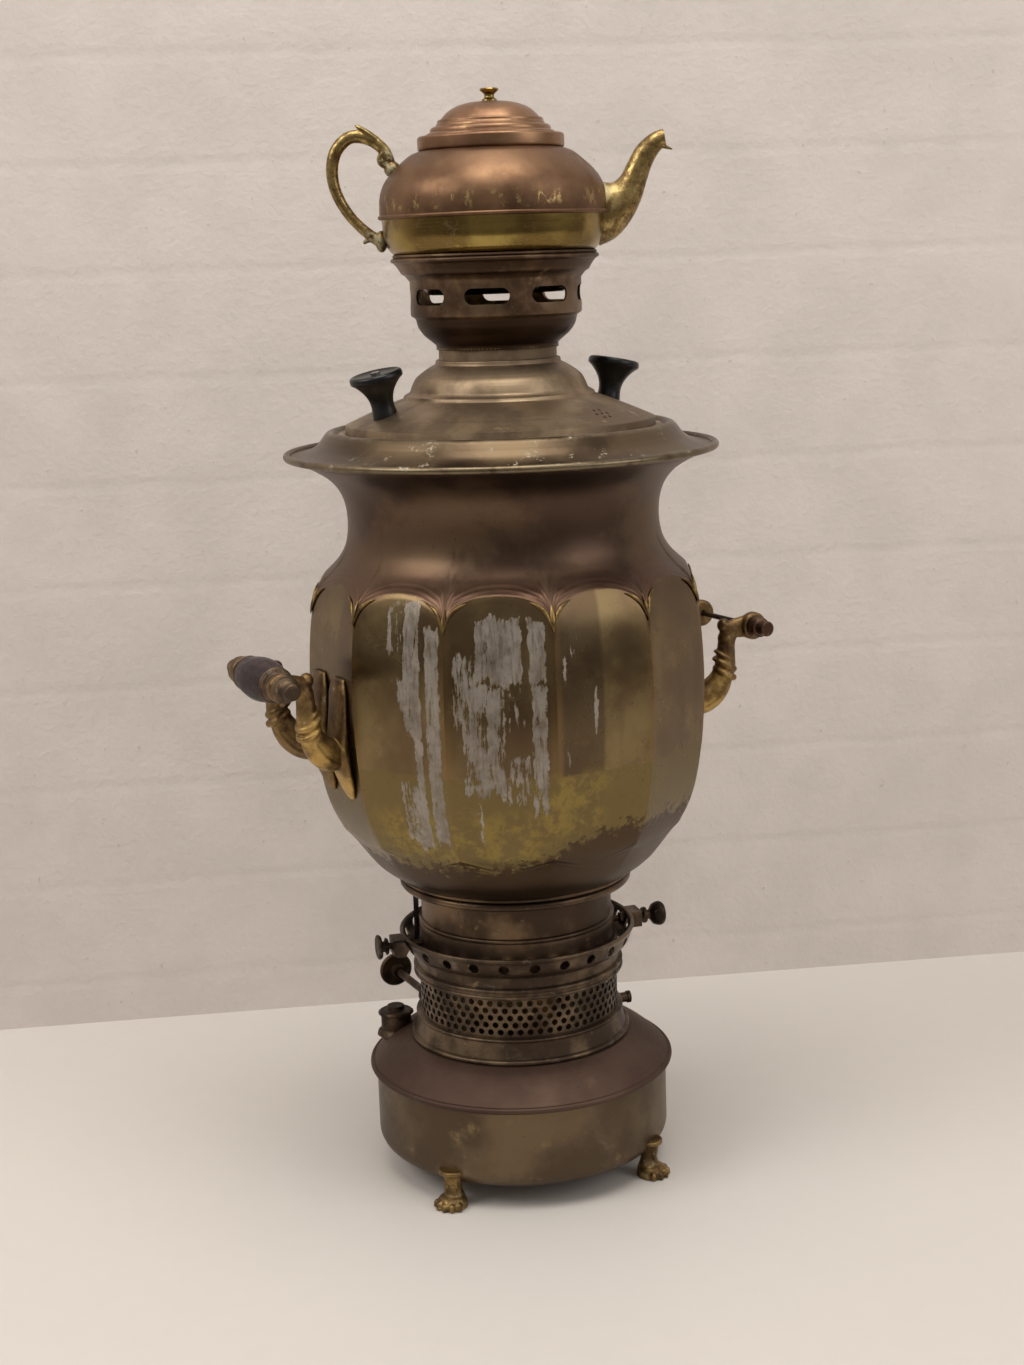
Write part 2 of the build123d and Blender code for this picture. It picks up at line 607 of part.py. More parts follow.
def gallery_fingers():
    """A ring of spring fingers inside the gallery that steady the urn's sleeve."""
    inner = SLEEVE_RADIUS + SLEEVE_FLARE + LIFT_GAP
    step = FINGER_THICK + 0.2
    ring = tube(inner + FINGER_THICK + step, inner + step, BAND_TOP, BAND_TOP + 3)
    ring += tube(inner + FINGER_THICK + step, inner, BAND_TOP + 2.4, BAND_TOP + 3)
    skirt = tube(inner + FINGER_THICK, inner, BAND_TOP + 2.4, BAND_TOP + FINGER_HEIGHT)
    share = FINGER_WIDTH / (2 * pi * inner) * 360
    gap = 360 / FINGER_COUNT - share
    wedge_reach = 2 * inner
    for k in range(FINGER_COUNT):
        middle = 360 / FINGER_COUNT * (k + 0.5)
        side = tan(radians(gap / 2)) * wedge_reach
        wedge = extrude(make_face([Polyline((0, 0), (wedge_reach, -side), (wedge_reach, side), close=True)]),
                        FINGER_HEIGHT)
        skirt -= Pos(0, 0, BAND_TOP + 3) * around(middle, wedge)
    return ring + skirt


def clamp_block(turn):
    """The block soldered outside the gallery's rim that a thumb screw runs in."""
    start = GALLERY_RIM_RADIUS + GALLERY_RIM_BEAD - 0.4 + SEAT_GAP
    block = Pos(start + CLAMP_DEPTH / 2, 0, SCREW_HEIGHT) * Box(CLAMP_DEPTH, CLAMP_WIDTH, CLAMP_HEIGHT)
    inner = SLEEVE_RADIUS + SLEEVE_FLARE + 6.5
    block += Pos(inner, 0, SCREW_HEIGHT) * along_x(Cylinder(
        SCREW_RADIUS + 1.6, start + 1 - inner, align=(Align.CENTER, Align.CENTER, Align.MIN)))
    block -= Pos(inner - 20, 0, SCREW_HEIGHT) * along_x(Cylinder(
        SCREW_RADIUS + SHAFT_GAP, 60, align=(Align.CENTER, Align.CENTER, Align.MIN)))
    return around(turn, block)


def clamp_nut():
    """The six-sided nut on the side of the left clamp block."""
    start = GALLERY_RIM_RADIUS + GALLERY_RIM_BEAD - 0.4 + SEAT_GAP
    nut = extrude(RegularPolygon(CLAMP_NUT, 6), 5)
    return Pos(start + CLAMP_DEPTH / 2, CLAMP_WIDTH / 2, SCREW_HEIGHT) * (Rot(-90, 0, 0) * nut)


SCREW_TIP = SLEEVE_RADIUS + SLEEVE_FLARE + LIFT_GAP + 0.1
CLAMP_FACE = GALLERY_RIM_RADIUS + GALLERY_RIM_BEAD - 0.4 + SEAT_GAP + CLAMP_DEPTH


def thumb_screw(turn, head):
    """A turned thumb screw: a shank through the clamp and a head outlined as radii along its axis."""
    outline = [(0, SCREW_TIP), (SCREW_RADIUS, SCREW_TIP), (SCREW_RADIUS, CLAMP_FACE + 2.5)]
    outline += [(radius, CLAMP_FACE + along) for along, radius in head]
    return around(turn, Pos(0, 0, SCREW_HEIGHT) * along_x(turned(outline)))


def gallery_strap():
    """The flat strip of blackened steel that stands up from the gallery beside the sleeve."""
    reach = SLEEVE_RADIUS + SLEEVE_FLARE + LIFT_GAP + 2.0
    low = BAND_TOP + GALLERY_WALL
    high = URN_FLOOR - BASE_RING_HEIGHT - LIFT_GAP
    strip = Pos(reach + STRAP_THICK / 2, 0, (low + high) / 2) * Box(STRAP_THICK, STRAP_WIDTH, high - low)
    return around(STRAP_ANGLE - STOVE_TURN, strip)


# Urn

def vase_block(inset):
    """The round vase inside its outer line, drawn in by an inset."""
    line = shifted(VASE_LINE[::-1], inset)[::-1] if inset else list(VASE_LINE)
    low = line[0][1]
    high = line[-1][1]
    return spun([curve_through(line), Line(place(line[-1]), (0, 0, high)), Line((0, 0, high), (0, 0, low)),
                 Line((0, 0, low), place(line[0]))])


def panel_slab(inset):
    """Two opposite panels: a slab whose faces follow the panels' line, and stand clear above and below it."""
    line = shifted(PANEL_LINE[::-1], inset)[::-1] if inset else list(PANEL_LINE)
    clear = RIM_RADIUS + 20
    low, high = line[0], line[-1]
    right = [curve_through(line), Line(place(high), (clear, 0, high[1])),
             Line((clear, 0, high[1]), (clear, 0, URN_MOUTH + 10))]
    left = [mirror(edge, Plane.YZ) for edge in right]
    foot = URN_FLOOR - 10
    right += [Line(place(low), (clear, 0, low[1])), Line((clear, 0, low[1]), (clear, 0, foot))]
    left += [Line((-low[0], 0, low[1]), (-clear, 0, low[1])), Line((-clear, 0, low[1]), (-clear, 0, foot))]
    caps = [Line((-clear, 0, URN_MOUTH + 10), (clear, 0, URN_MOUTH + 10)), Line((-clear, 0, foot), (clear, 0, foot))]
    return extrude(make_face(right + left + caps), 2 * clear, both=True)


def urn_block(inset):
    """The urn's solid form: the vase cut by twelve flat-curved panels, which gives the scalloped arches."""
    block = vase_block(inset)
    slab = panel_slab(inset)
    for k in range(PANELS // 2):
        block = block & around(360 / PANELS * k, slab)
    return block


def urn_shell(outer):
    """The urn's wall and floor, with the flue's hole and the tap's hole."""
    hollow = urn_block(URN_WALL) & Pos(0, 0, URN_FLOOR + URN_FLOOR_THICK + 200) * Cylinder(RIM_RADIUS, 400)
    mouth = Pos(0, 0, URN_MOUTH) * Cylinder(VASE_LINE[-1][0] - URN_WALL, 2 * URN_WALL)
    flue_hole = Pos(0, 0, URN_FLOOR) * Cylinder(FLUE_FOOT_RADIUS + SEAT_GAP, 30)
    tap_hole = Pos(0, -100, TAP_HEIGHT) * (Rot(90, 0, 0) * Cylinder(TAP_BARREL_RADIUS - 1, 60))
    return outer - hollow - mouth - flue_hole - tap_hole


def base_ring():
    """The moulding ring under the urn: a spun ring with two rounds."""
    low = URN_FLOOR - BASE_RING_HEIGHT
    bore = SLEEVE_RADIUS + SEAT_GAP
    ring = turned([(bore, low), (BASE_RING_RADIUS - 5, low), (BASE_RING_RADIUS - 1.6, low + 3),
                   (BASE_RING_RADIUS - 1.6, URN_FLOOR), (bore, URN_FLOOR)])
    return ring + bead(BASE_RING_RADIUS - 2.4, low + 5.2, 2.4)


def base_sleeve():
    """The sleeve under the urn that drops into the gallery, with a bead and a slightly wider foot."""
    low_radius = SLEEVE_RADIUS + SLEEVE_FLARE
    top = [(SLEEVE_RADIUS, URN_FLOOR), (SLEEVE_RADIUS, SLEEVE_BEAD_HEIGHT + 1)]
    step = [top[-1], (low_radius, SLEEVE_BEAD_HEIGHT - 3)]
    foot = [step[-1], (low_radius, SLEEVE_FOOT)]
    return turned_sheet([top, step, foot], SLEEVE_WALL)


def flue_tube():
    """The tapered fire tube through the water, flanged under the urn's floor."""
    foot = URN_FLOOR - 6
    line = [(FLUE_TOP_RADIUS, FLUE_TOP), (FLUE_TOP_RADIUS, 430), (FLUE_TOP_RADIUS + 3, 340),
            (FLUE_FOOT_RADIUS - 8, 235), (FLUE_FOOT_RADIUS - 1, 205)]
    straight = [line[-1], (FLUE_FOOT_RADIUS, URN_FLOOR + 8)]
    tail = [straight[-1], (FLUE_FOOT_RADIUS, foot)]
    return turned_sheet([line[:2], line[1:], straight, tail], FLUE_WALL)


def rim_ring():
    """The spun rim: ledge for the lid, raised lip, sloping shoulder and flat brim with a rolled edge."""
    ledge = LIP_HEIGHT - LEDGE_DEPTH
    brim = URN_MOUTH + RIM_WALL
    outer = RIM_RADIUS - RIM_BEAD
    sheet = turned_sheet([
        [(LEDGE_BORE, ledge), (LEDGE_RADIUS, ledge)],
        [(LEDGE_RADIUS, ledge), (LIP_RADIUS - 1.2, LIP_HEIGHT), (LIP_RADIUS + 2.5, LIP_HEIGHT - 1.2)],
        [(LIP_RADIUS + 2.5, LIP_HEIGHT - 1.2), (LIP_RADIUS + 6.5, LIP_HEIGHT - 6.2), (LIP_RADIUS + 10, brim + 4.4),
         (LIP_RADIUS + 16, brim + 1.4), (LIP_RADIUS + 21, brim)],
        [(LIP_RADIUS + 21, brim), (outer, brim)],
    ], RIM_WALL)
    return sheet + bead(outer, brim - 0.2, RIM_BEAD)


# Handles

ARM_SPLAY = degrees(atan2(HANDLE_EYE_SPREAD - HANDLE_ROOT_SPREAD, HANDLE_ROD_REACH - PANEL_LINE[5][0]))
ARM_LENGTH = hypot(HANDLE_EYE_SPREAD - HANDLE_ROOT_SPREAD, HANDLE_ROD_REACH - PANEL_LINE[5][0])

# Centre line of a cast arm in its own upright plane: out from the root, up from the rod, radius there
ARM_LINE = ((-6.0, -44.5, 8.0), (4.0, -46.5, 7.8), (13.0, -46.0, 7.6), (20.5, -41.0, 7.4), (25.0, -34.0, 7.4),
            (27.8, -27.5, 8.0), (28.6, -21.0, 7.6), (28.9, -14.5, 6.8), (30.6, -7.0, 6.6), (34.5, -1.8, 6.2))


def arm_sections():
    """Round sections across the arm's centre line."""
    sections = []
    last = len(ARM_LINE) - 1
    for index, (out, up, radius) in enumerate(ARM_LINE):
        before = ARM_LINE[max(index - 1, 0)]
        after = ARM_LINE[min(index + 1, last)]
        way = Vector(after[0] - before[0], 0, after[1] - before[1])
        plane = Plane(origin=(out, 0, up), x_dir=(0, 1, 0), z_dir=way)
        sections.append(plane * Ellipse(radius * 0.88, radius))
    return sections


def arm_in_plane():
    """One cast arm in its own plane: root, bowl, twisted collar, shaft with its inner nub, hook and eye."""
    arm = loft(arm_sections())
    collar = Pos(28.4, 0, -24.5) * (Rot(0, -14, 0) * turned(
        [(0, -6.2), (8.4, -5.6), (9.6, -2.6), (9.0, 0.2), (9.7, 2.2), (8.0, 5.2), (0, 5.8)]))
    nub = Pos(29.6, 0, 0.4) * Sphere(3.6)
    hook = loft([Plane(origin=(29.5, 0, -2.5), x_dir=(0, 1, 0), z_dir=(1, 0, 0.15)) * Ellipse(4.6, 5.6),
                 Plane(origin=(37.5, 0, -0.8), x_dir=(0, 1, 0), z_dir=(1, 0, 0.1)) * Ellipse(4.2, 6.4),
                 Plane(origin=(ARM_LENGTH - 3, 0, 0), x_dir=(0, 1, 0), z_dir=(1, 0, 0)) * Ellipse(3.6, 7.0)])
    return arm + collar + nub + hook


def handle_arm(side):
    """An arm of the +X handle: the cast S, its eye on the rod and the leaf that spreads on the panel."""
    lower_panel = PANEL_LINE[5][0]
    root = (lower_panel, side * HANDLE_ROOT_SPREAD, HANDLE_ROD_HEIGHT)
    arm = Pos(*root) * around(side * ARM_SPLAY, arm_in_plane())
    eye_face = side * HANDLE_EYE_SPREAD
    eye = Pos(HANDLE_ROD_REACH, eye_face, HANDLE_ROD_HEIGHT) * (Rot(90, 0, 0) * Cylinder(
        HANDLE_EYE_RADIUS, HANDLE_EYE_THICK))
    grip_room = 2 * (GRIP_END_RADIUS + FERRULE_FLARE + LIFT_GAP)
    keep = Pos(HANDLE_ROD_REACH, side * (HANDLE_EYE_SPREAD - HANDLE_EYE_THICK / 2 - 20), HANDLE_ROD_HEIGHT) * Box(
        grip_room, 40, 3 * HANDLE_EYE_RADIUS)
    beyond = Pos(HANDLE_ROD_REACH, side * (HANDLE_EYE_SPREAD + HANDLE_EYE_THICK / 2 + 20), HANDLE_ROD_HEIGHT) * Box(
        2 * HANDLE_EYE_RADIUS + 2, 40, 3 * HANDLE_EYE_RADIUS)
    arm = arm - keep - beyond + eye
    rod_line = Pos(HANDLE_ROD_REACH, 0, HANDLE_ROD_HEIGHT) * (Rot(90, 0, 0) * Cylinder(
        HANDLE_ROD_RADIUS + SHAFT_GAP, 4 * HANDLE_EYE_SPREAD))
    return arm + handle_leaf(side) - rod_line


def handle_leaf(side):
    """The pointed leaf of an arm, pressed on the panel below its root."""
    half = HANDLE_LEAF_WIDTH / 2
    outline = [Line((half, 8), (half, 0)), Spline((half, 0), (half * 0.75, -12), (0, -24)),
               Spline((0, -24), (-half * 0.75, -12), (-half, 0)), Line((-half, 0), (-half, 8)),
               Line((-half, 8), (half, 8))]
    blade = extrude(Plane.YZ * make_face(outline), 2 * (HANDLE_LEAF_THICK + 3))
    reach = PANEL_LINE[4][0] - HANDLE_LEAF_THICK - 3
    return Pos(reach, side * HANDLE_ROOT_SPREAD, HANDLE_ROD_HEIGHT - 50) * blade & leaf_limit()


def leaf_limit():
    """The urn's form grown by a leaf's thickness, which gives the leaves their outer face."""
    grown = list(PANEL_LINE)
    line = [(radius + HANDLE_LEAF_THICK, height) for radius, height in grown]
    edges = [curve_through(line), Line(place(line[-1]), (0, 0, line[-1][1])),
             Line((0, 0, line[-1][1]), (0, 0, line[0][1])), Line((0, 0, line[0][1]), place(line[0]))]
    return extrude(make_face(edges), 80, both=True)


def handle_rod():
    """The steel rod between the eyes, with its ends inside the caps."""
    end = HANDLE_EYE_SPREAD + HANDLE_EYE_THICK / 2
    tip = end + ROD_BOSS_LENGTH + ROD_END_LENGTH
    rod = Cylinder(HANDLE_ROD_RADIUS, 2 * tip - 2)
    return Pos(HANDLE_ROD_REACH, 0, HANDLE_ROD_HEIGHT) * (Rot(90, 0, 0) * rod)


def rod_nuts(ribbed):
    """The pair of end caps on a rod: a ribbed boss and a small round nut at each end."""
    start = HANDLE_EYE_SPREAD + HANDLE_EYE_THICK / 2
    middle = start + ROD_BOSS_LENGTH
    tip = middle + ROD_END_LENGTH
    if ribbed:
        step = ROD_BOSS_LENGTH / 3
        outline = [(0, start), (HANDLE_EYE_RADIUS - 0.8, start), (HANDLE_EYE_RADIUS - 0.4, start + step * 0.6),
                   (HANDLE_EYE_RADIUS - 2.2, start + step), (HANDLE_EYE_RADIUS - 1.6, start + step * 1.6),
                   (HANDLE_EYE_RADIUS - 3.4, start + step * 2), (HANDLE_EYE_RADIUS - 2.8, start + step * 2.6)]
    else:
        outline = [(0, start), (ROD_BOSS_RADIUS, start), (ROD_BOSS_RADIUS + 0.6, start + 2),
                   (ROD_BOSS_RADIUS, middle - 2)]
    outline += [(ROD_END_RADIUS - 0.8, middle), (ROD_END_RADIUS, middle + 0.4), (ROD_END_RADIUS, tip - 0.6),
                (ROD_END_RADIUS - 0.6, tip), (0, tip)]
    cap = turned(outline) - Pos(0, 0, start) * Cylinder(HANDLE_ROD_RADIUS, 2 * (tip - 1 - start))
    pair = Compound(children=[Rot(-90, 0, 0) * cap, Rot(90, 0, 0) * cap])
    return Pos(HANDLE_ROD_REACH, 0, HANDLE_ROD_HEIGHT) * pair


def handle_grip():
    """The turned wooden barrel on the rod."""
    half = GRIP_WOOD_HALF
    bore = HANDLE_ROD_RADIUS + SHAFT_GAP
    return on_rod(spun([Line(place((bore, -half)), place((GRIP_END_RADIUS, -half))),
                        curve_through([(GRIP_END_RADIUS, -half), (GRIP_RADIUS, 0), (GRIP_END_RADIUS, half)]),
                        Line(place((GRIP_END_RADIUS, half)), place((bore, half))),
                        Line(place((bore, half)), place((bore, -half)))]))


def grip_ferrules():
    """The two ribbed ferrules on the grip's ends."""
    start = GRIP_WOOD_HALF
    end = HANDLE_EYE_SPREAD - HANDLE_EYE_THICK / 2 - 0.15
    step = (end - start) / 3
    bore = HANDLE_ROD_RADIUS + SHAFT_GAP
    cup = turned([(bore, start), (GRIP_END_RADIUS + FERRULE_FLARE - 0.1, start),
                  (GRIP_END_RADIUS + FERRULE_FLARE, start + step * 0.7),
                  (GRIP_END_RADIUS - 0.5, start + step), (GRIP_END_RADIUS, start + step * 1.7),
                  (FERRULE_END_RADIUS - 0.4, start + step * 2), (FERRULE_END_RADIUS, end), (bore, end)])
    return on_rod(Compound(children=[cup, Rot(180, 0, 0) * cup]))


def on_rod(shape):
    """A shape drawn about Z and its origin, laid on the +X handle's rod along Y."""
    return Pos(HANDLE_ROD_REACH, 0, HANDLE_ROD_HEIGHT) * (Rot(-90, 0, 0) * shape)


# Tap

TAP_FACE = PANEL_LINE[2][0] + 1.6


def tap_plate(outer):
    """The scalloped plate soldered on the panel behind the tap."""
    plate = Pos(0, -TAP_FACE - TAP_PLATE_THICK, TAP_HEIGHT) * (Rot(90, 0, 0) * Cylinder(
        TAP_PLATE_RADIUS, 20, align=(Align.CENTER, Align.CENTER, Align.CENTER)))
    for k in range(8):
        turn = radians(45 * k)
        plate += Pos(TAP_PLATE_RADIUS * sin(turn), -TAP_FACE - TAP_PLATE_THICK,
                     TAP_HEIGHT + TAP_PLATE_RADIUS * cos(turn)) * (Rot(90, 0, 0) * Cylinder(4.5, 20))
    limit = TAP_FACE + TAP_PLATE_THICK + 2
    plate = plate & Pos(0, -limit / 2 - 40, TAP_HEIGHT) * Box(80, limit - 80, 80)
    return plate - outer - Pos(0, -TAP_FACE, TAP_HEIGHT) * (Rot(90, 0, 0) * Cylinder(
        TAP_BARREL_RADIUS + SEAT_GAP, 60))


def tap_body(outer):
    """The cast tap: a barrel from the urn, the upright plug case and the turned-down spout."""
    barrel_start = TAP_FACE - 4
    barrel_length = TAP_REACH + 4
    barrel = Pos(0, -barrel_start - barrel_length / 2, TAP_HEIGHT) * (Rot(90, 0, 0) * Cylinder(
        TAP_BARREL_RADIUS, barrel_length))
    case_y = -TAP_FACE - TAP_REACH * 0.55
    case = Pos(0, case_y, TAP_HEIGHT) * turned([
        (0, -TAP_CASE_HALF), (TAP_CASE_RADIUS - 1.5, -TAP_CASE_HALF), (TAP_CASE_RADIUS, -TAP_CASE_HALF + 2),
        (TAP_CASE_RADIUS, TAP_CASE_HALF - 2), (TAP_CASE_RADIUS + 1, TAP_CASE_HALF), (0, TAP_CASE_HALF)])
    spout_y = -TAP_FACE - TAP_REACH
    spout = Pos(0, spout_y, TAP_HEIGHT) * turned([
        (0, TAP_BARREL_RADIUS), (TAP_BARREL_RADIUS - 2, TAP_BARREL_RADIUS - 1), (TAP_BARREL_RADIUS, 0),
        (TAP_BARREL_RADIUS - 0.5, -10), (TAP_BARREL_RADIUS - 2.4, -TAP_SPOUT_DROP + 6),
        (TAP_BARREL_RADIUS - 1.4, -TAP_SPOUT_DROP), (0, -TAP_SPOUT_DROP)])
    water = Pos(0, -barrel_start - barrel_length / 2 + 1, TAP_HEIGHT) * (Rot(90, 0, 0) * Cylinder(
        TAP_BORE, barrel_length - 2))
    water += Pos(0, spout_y, TAP_HEIGHT - TAP_SPOUT_DROP / 2 - 1) * Cylinder(TAP_BORE - 0.2, TAP_SPOUT_DROP + 2)
    plug_bore = Pos(0, case_y, TAP_HEIGHT) * Cylinder(TAP_PLUG_RADIUS + SHAFT_GAP, 4 * TAP_CASE_HALF)
    return barrel + case + spout - water - plug_bore - outer_keepout(outer)


def outer_keepout(outer):
    """The urn's form without the hole that the tap's barrel seats in."""
    return outer - Pos(0, -100, TAP_HEIGHT) * (Rot(90, 0, 0) * Cylinder(TAP_BARREL_RADIUS - 1 - SEAT_GAP, 80))


def tap_key():
    """The turning key: a round plug with a cross bore, a stem and a branched cast handle."""
    case_y = -TAP_FACE - TAP_REACH * 0.55
    plug = Pos(0, 0, 0.2) * Cylinder(TAP_PLUG_RADIUS, 2 * TAP_CASE_HALF + 0.4)
    plug -= along_x(Cylinder(TAP_BORE, 40))
    plug += Pos(0, 0, -TAP_CASE_HALF - TAP_TAIL_LENGTH / 2) * Cylinder(TAP_TAIL_RADIUS, TAP_TAIL_LENGTH)
    stem = turned([(0, TAP_CASE_HALF + 0.3), (TAP_PLUG_RADIUS + 3, TAP_CASE_HALF + 0.3),
                   (TAP_PLUG_RADIUS + 3, TAP_CASE_HALF + 3), (4.4, TAP_CASE_HALF + 6), (3.6, TAP_CASE_HALF + 14),
                   (5.0, TAP_CASE_HALF + 16), (3.4, TAP_CASE_HALF + 19), (0, TAP_CASE_HALF + 19)])
    branch_level = TAP_CASE_HALF + TAP_KEY_STEM - 8
    branch = Pos(0, 0, branch_level) * (Rot(90, 0, 0) * (Torus(11, 2.6) + Pos(0, -2, 0) * Torus(5, 1.8)))
    tip = Pos(0, 0, branch_level + 14.5) * Sphere(3.6)
    ears = Pos(-13, 0, branch_level) * Sphere(3.6) + Pos(13, 0, branch_level) * Sphere(3.6)
    bar = Pos(0, 0, branch_level) * Box(22, 3.4, 3.4)
    return Pos(0, case_y, TAP_HEIGHT) * (plug + stem + branch + tip + ears + bar)


def tap_nut():
    """The nut and washer that hold the key down under the case."""
    case_y = -TAP_FACE - TAP_REACH * 0.55
    washer_top = -TAP_CASE_HALF - LIFT_GAP
    nut = Pos(0, 0, washer_top - 1) * Cylinder(TAP_PLUG_RADIUS + 1.5, 2)
    nut += Pos(0, 0, washer_top - 7) * extrude(RegularPolygon(6.2, 6), 5)
    nut -= Pos(0, 0, washer_top - 4) * Cylinder(TAP_TAIL_RADIUS, 20)
    return Pos(0, case_y, TAP_HEIGHT) * nut


# Lid

LID_SEAT = LIP_HEIGHT - LEDGE_DEPTH


def lid_height(radius):
    """Height of the lid's dome at a radius."""
    share = (radius - 58) / (LID_EDGE_RADIUS - 58)
    return 480.5 - (480.5 - LID_SEAT - 6) * share ** 1.1


def lid_sheet():
    """The spun lid: upright neck, two steps, the wide dome, a turned-down edge and a flat seat."""
    neck = [(LID_NECK_RADIUS, LID_NECK_TOP), (LID_NECK_RADIUS, LID_NECK_TOP - 7.5)]
    first = [neck[-1], (37.5, 500.3), (44.5, 496.4), (49.3, 492.6), (51.9, 488.5), (53.2, 484.6)]
    second = [first[-1], (55.0, 483.2), (58.0, lid_height(58))]
    dome = [second[-1]]
    for k in range(1, 5):
        radius = 58 + (LID_EDGE_RADIUS - 58) * k / 4
        dome.append((radius, lid_height(radius)))
    edge = [dome[-1], (LID_EDGE_RADIUS + 0.4, LID_SEAT + LID_WALL)]
    seat = [edge[-1], (LEDGE_RADIUS - 2.0, LID_SEAT + LID_WALL)]
    return turned_sheet([neck, first, second, dome, edge, seat], LID_WALL)


def lid():
    """The lid with its skirt, stud holes and vent holes."""
    skirt = tube(LEDGE_BORE - LIFT_GAP, LEDGE_BORE - LIFT_GAP - LID_WALL, LID_SEAT - LID_SKIRT_DEPTH,
                 LID_SEAT + LID_WALL) + tube(LEDGE_RADIUS - 4, LEDGE_BORE - 2, LID_SEAT, LID_SEAT + LID_WALL)
    body = lid_sheet() + skirt
    holes = []
    for row, count in enumerate((2, 3, 2)):
        for k in range(count):
            along = (k - (count - 1) / 2) * VENT_PITCH
            spot = Pos(VENT_RADIUS + (row - 1) * VENT_PITCH * 0.87, along, LID_SEAT + 12) * Cylinder(VENT_HOLE, 24)
            holes.append(around(VENT_ANGLE, spot))
    for side in (0, 180):
        holes.append(around(side, lean_on_lid(Cylinder(LID_STUD_RADIUS + SEAT_GAP, 20))))
    return body.cut(*holes)


def lean_on_lid(shape):
    """A shape drawn about Z, stood on the lid at +X with the knobs' outward lean."""
    return Pos(LID_KNOB_RADIUS, 0, lid_height(LID_KNOB_RADIUS)) * (Rot(0, LID_KNOB_LEAN, 0) * shape)


def lid_knob():
    """A turned black knob, trumpet-shaped under a flat rimmed top, at +X."""
    high = LID_KNOB_HEIGHT
    knob = spun([
        Line((LID_STUD_RADIUS, 0, -4), (LID_KNOB_STEM, 0, -4)),
        Line((LID_KNOB_STEM, 0, -4), (LID_KNOB_STEM - 0.3, 0, 6)),
        Spline((LID_KNOB_STEM - 0.3, 0, 6), (LID_KNOB_STEM + 0.5, 0, 11), (LID_KNOB_TOP * 0.72, 0, 17),
               (LID_KNOB_TOP * 0.93, 0, high - 4.6)),
        Line((LID_KNOB_TOP * 0.93, 0, high - 4.6), (LID_KNOB_TOP, 0, high - 3.6)),
        Line((LID_KNOB_TOP, 0, high - 3.6), (LID_KNOB_TOP, 0, high - 1.4)),
        Line((LID_KNOB_TOP, 0, high - 1.4), (LID_KNOB_TOP - 1.4, 0, high)),
        Line((LID_KNOB_TOP - 1.4, 0, high), (LID_STUD_RADIUS, 0, high - 0.6)),
        Line((LID_STUD_RADIUS, 0, high - 0.6), (LID_STUD_RADIUS, 0, -4)),
    ])
    return lean_on_lid(knob) - lid_dome_block()


def lid_dome_block():
    """The space under the lid's outer face, which the knobs' feet are fitted to."""
    dome = [(58 + (LID_EDGE_RADIUS - 58) * k / 4, lid_height(58 + (LID_EDGE_RADIUS - 58) * k / 4)) for k in range(5)]
    low = LID_SEAT - 20
    return spun([curve_through(dome), Line(place(dome[-1]), (LID_EDGE_RADIUS, 0, low)),
                 Line((LID_EDGE_RADIUS, 0, low), (58, 0, low)), Line((58, 0, low), place(dome[0]))])


def lid_studs():
    """The studs through the lid into both knobs, each with a nut inside."""
    stud = Pos(0, 0, 8) * Cylinder(LID_STUD_RADIUS, 30) + Pos(0, 0, -5) * extrude(RegularPolygon(4.2, 6), 2.4)
    stud += Pos(0, 0, LID_KNOB_HEIGHT) * Cylinder(LID_STUD_RADIUS + 0.8, 1.0)
    one = lean_on_lid(stud)
    return Compound(children=[one, around(180, one)])


# Crown

def crown():
    """The spun crown: rolled flange, fluted throat, slotted cylinder, step and bowl down to its neck."""
    top = CROWN_FLANGE_TOP
    radius = CROWN_CYLINDER_RADIUS
    neck = LID_NECK_TOP
    foot = LID_NECK_RADIUS + 1.2
    throat = [(CROWN_FLANGE_RADIUS - 0.6, top - 1.0), (59.0, top - 4.2), (56.0, top - 6.8)]
    flute = [throat[-1], (55.4, top - 8.6), (52.8, top - 10.2)]
    shoulder = [flute[-1], (radius, top - 13.6)]
    barrel = [shoulder[-1], (radius, CROWN_SLOT_LEVEL - 11)]
    step = [barrel[-1], (47.6, CROWN_SLOT_LEVEL - 13.5)]
    bowl = [step[-1], (46.4, CROWN_SLOT_LEVEL - 17.5), (43.6, CROWN_SLOT_LEVEL - 21.8),
            (39.6, CROWN_SLOT_LEVEL - 25.6)]
    ankle = [bowl[-1], (foot, neck + 3)]
    tail = [ankle[-1], (foot, neck)]
    sheet = turned_sheet([throat, flute, shoulder, barrel, step, bowl, ankle, tail], CROWN_WALL)
    sheet += turned([(CROWN_SEAT_BORE, top), (CROWN_FLANGE_RADIUS - 1.2, top), (CROWN_FLANGE_RADIUS, top - 0.8),
                     (CROWN_FLANGE_RADIUS, top - 1.8), (CROWN_FLANGE_RADIUS - 1.2, top - 2.6),
                     (CROWN_SEAT_BORE, top - 2.6)])
    spigot = tube(CROWN_SPIGOT_RADIUS, CROWN_SPIGOT_RADIUS - CROWN_WALL, neck - CROWN_SPIGOT_DEPTH, neck + CROWN_WALL)
    seat = tube(foot, CROWN_SPIGOT_RADIUS - CROWN_WALL, neck, neck + CROWN_WALL)
    slot = Pos(radius, 0, CROWN_SLOT_LEVEL) * (Plane.YZ * SlotOverall(CROWN_SLOT_LENGTH, CROWN_SLOT_HEIGHT))
    punch = extrude(slot, 16, dir=(1, 0, 0), both=True)
    return (sheet + spigot + seat).cut(*[around(360 / CROWN_SLOTS * k, punch) for k in range(CROWN_SLOTS)])


# Teapot

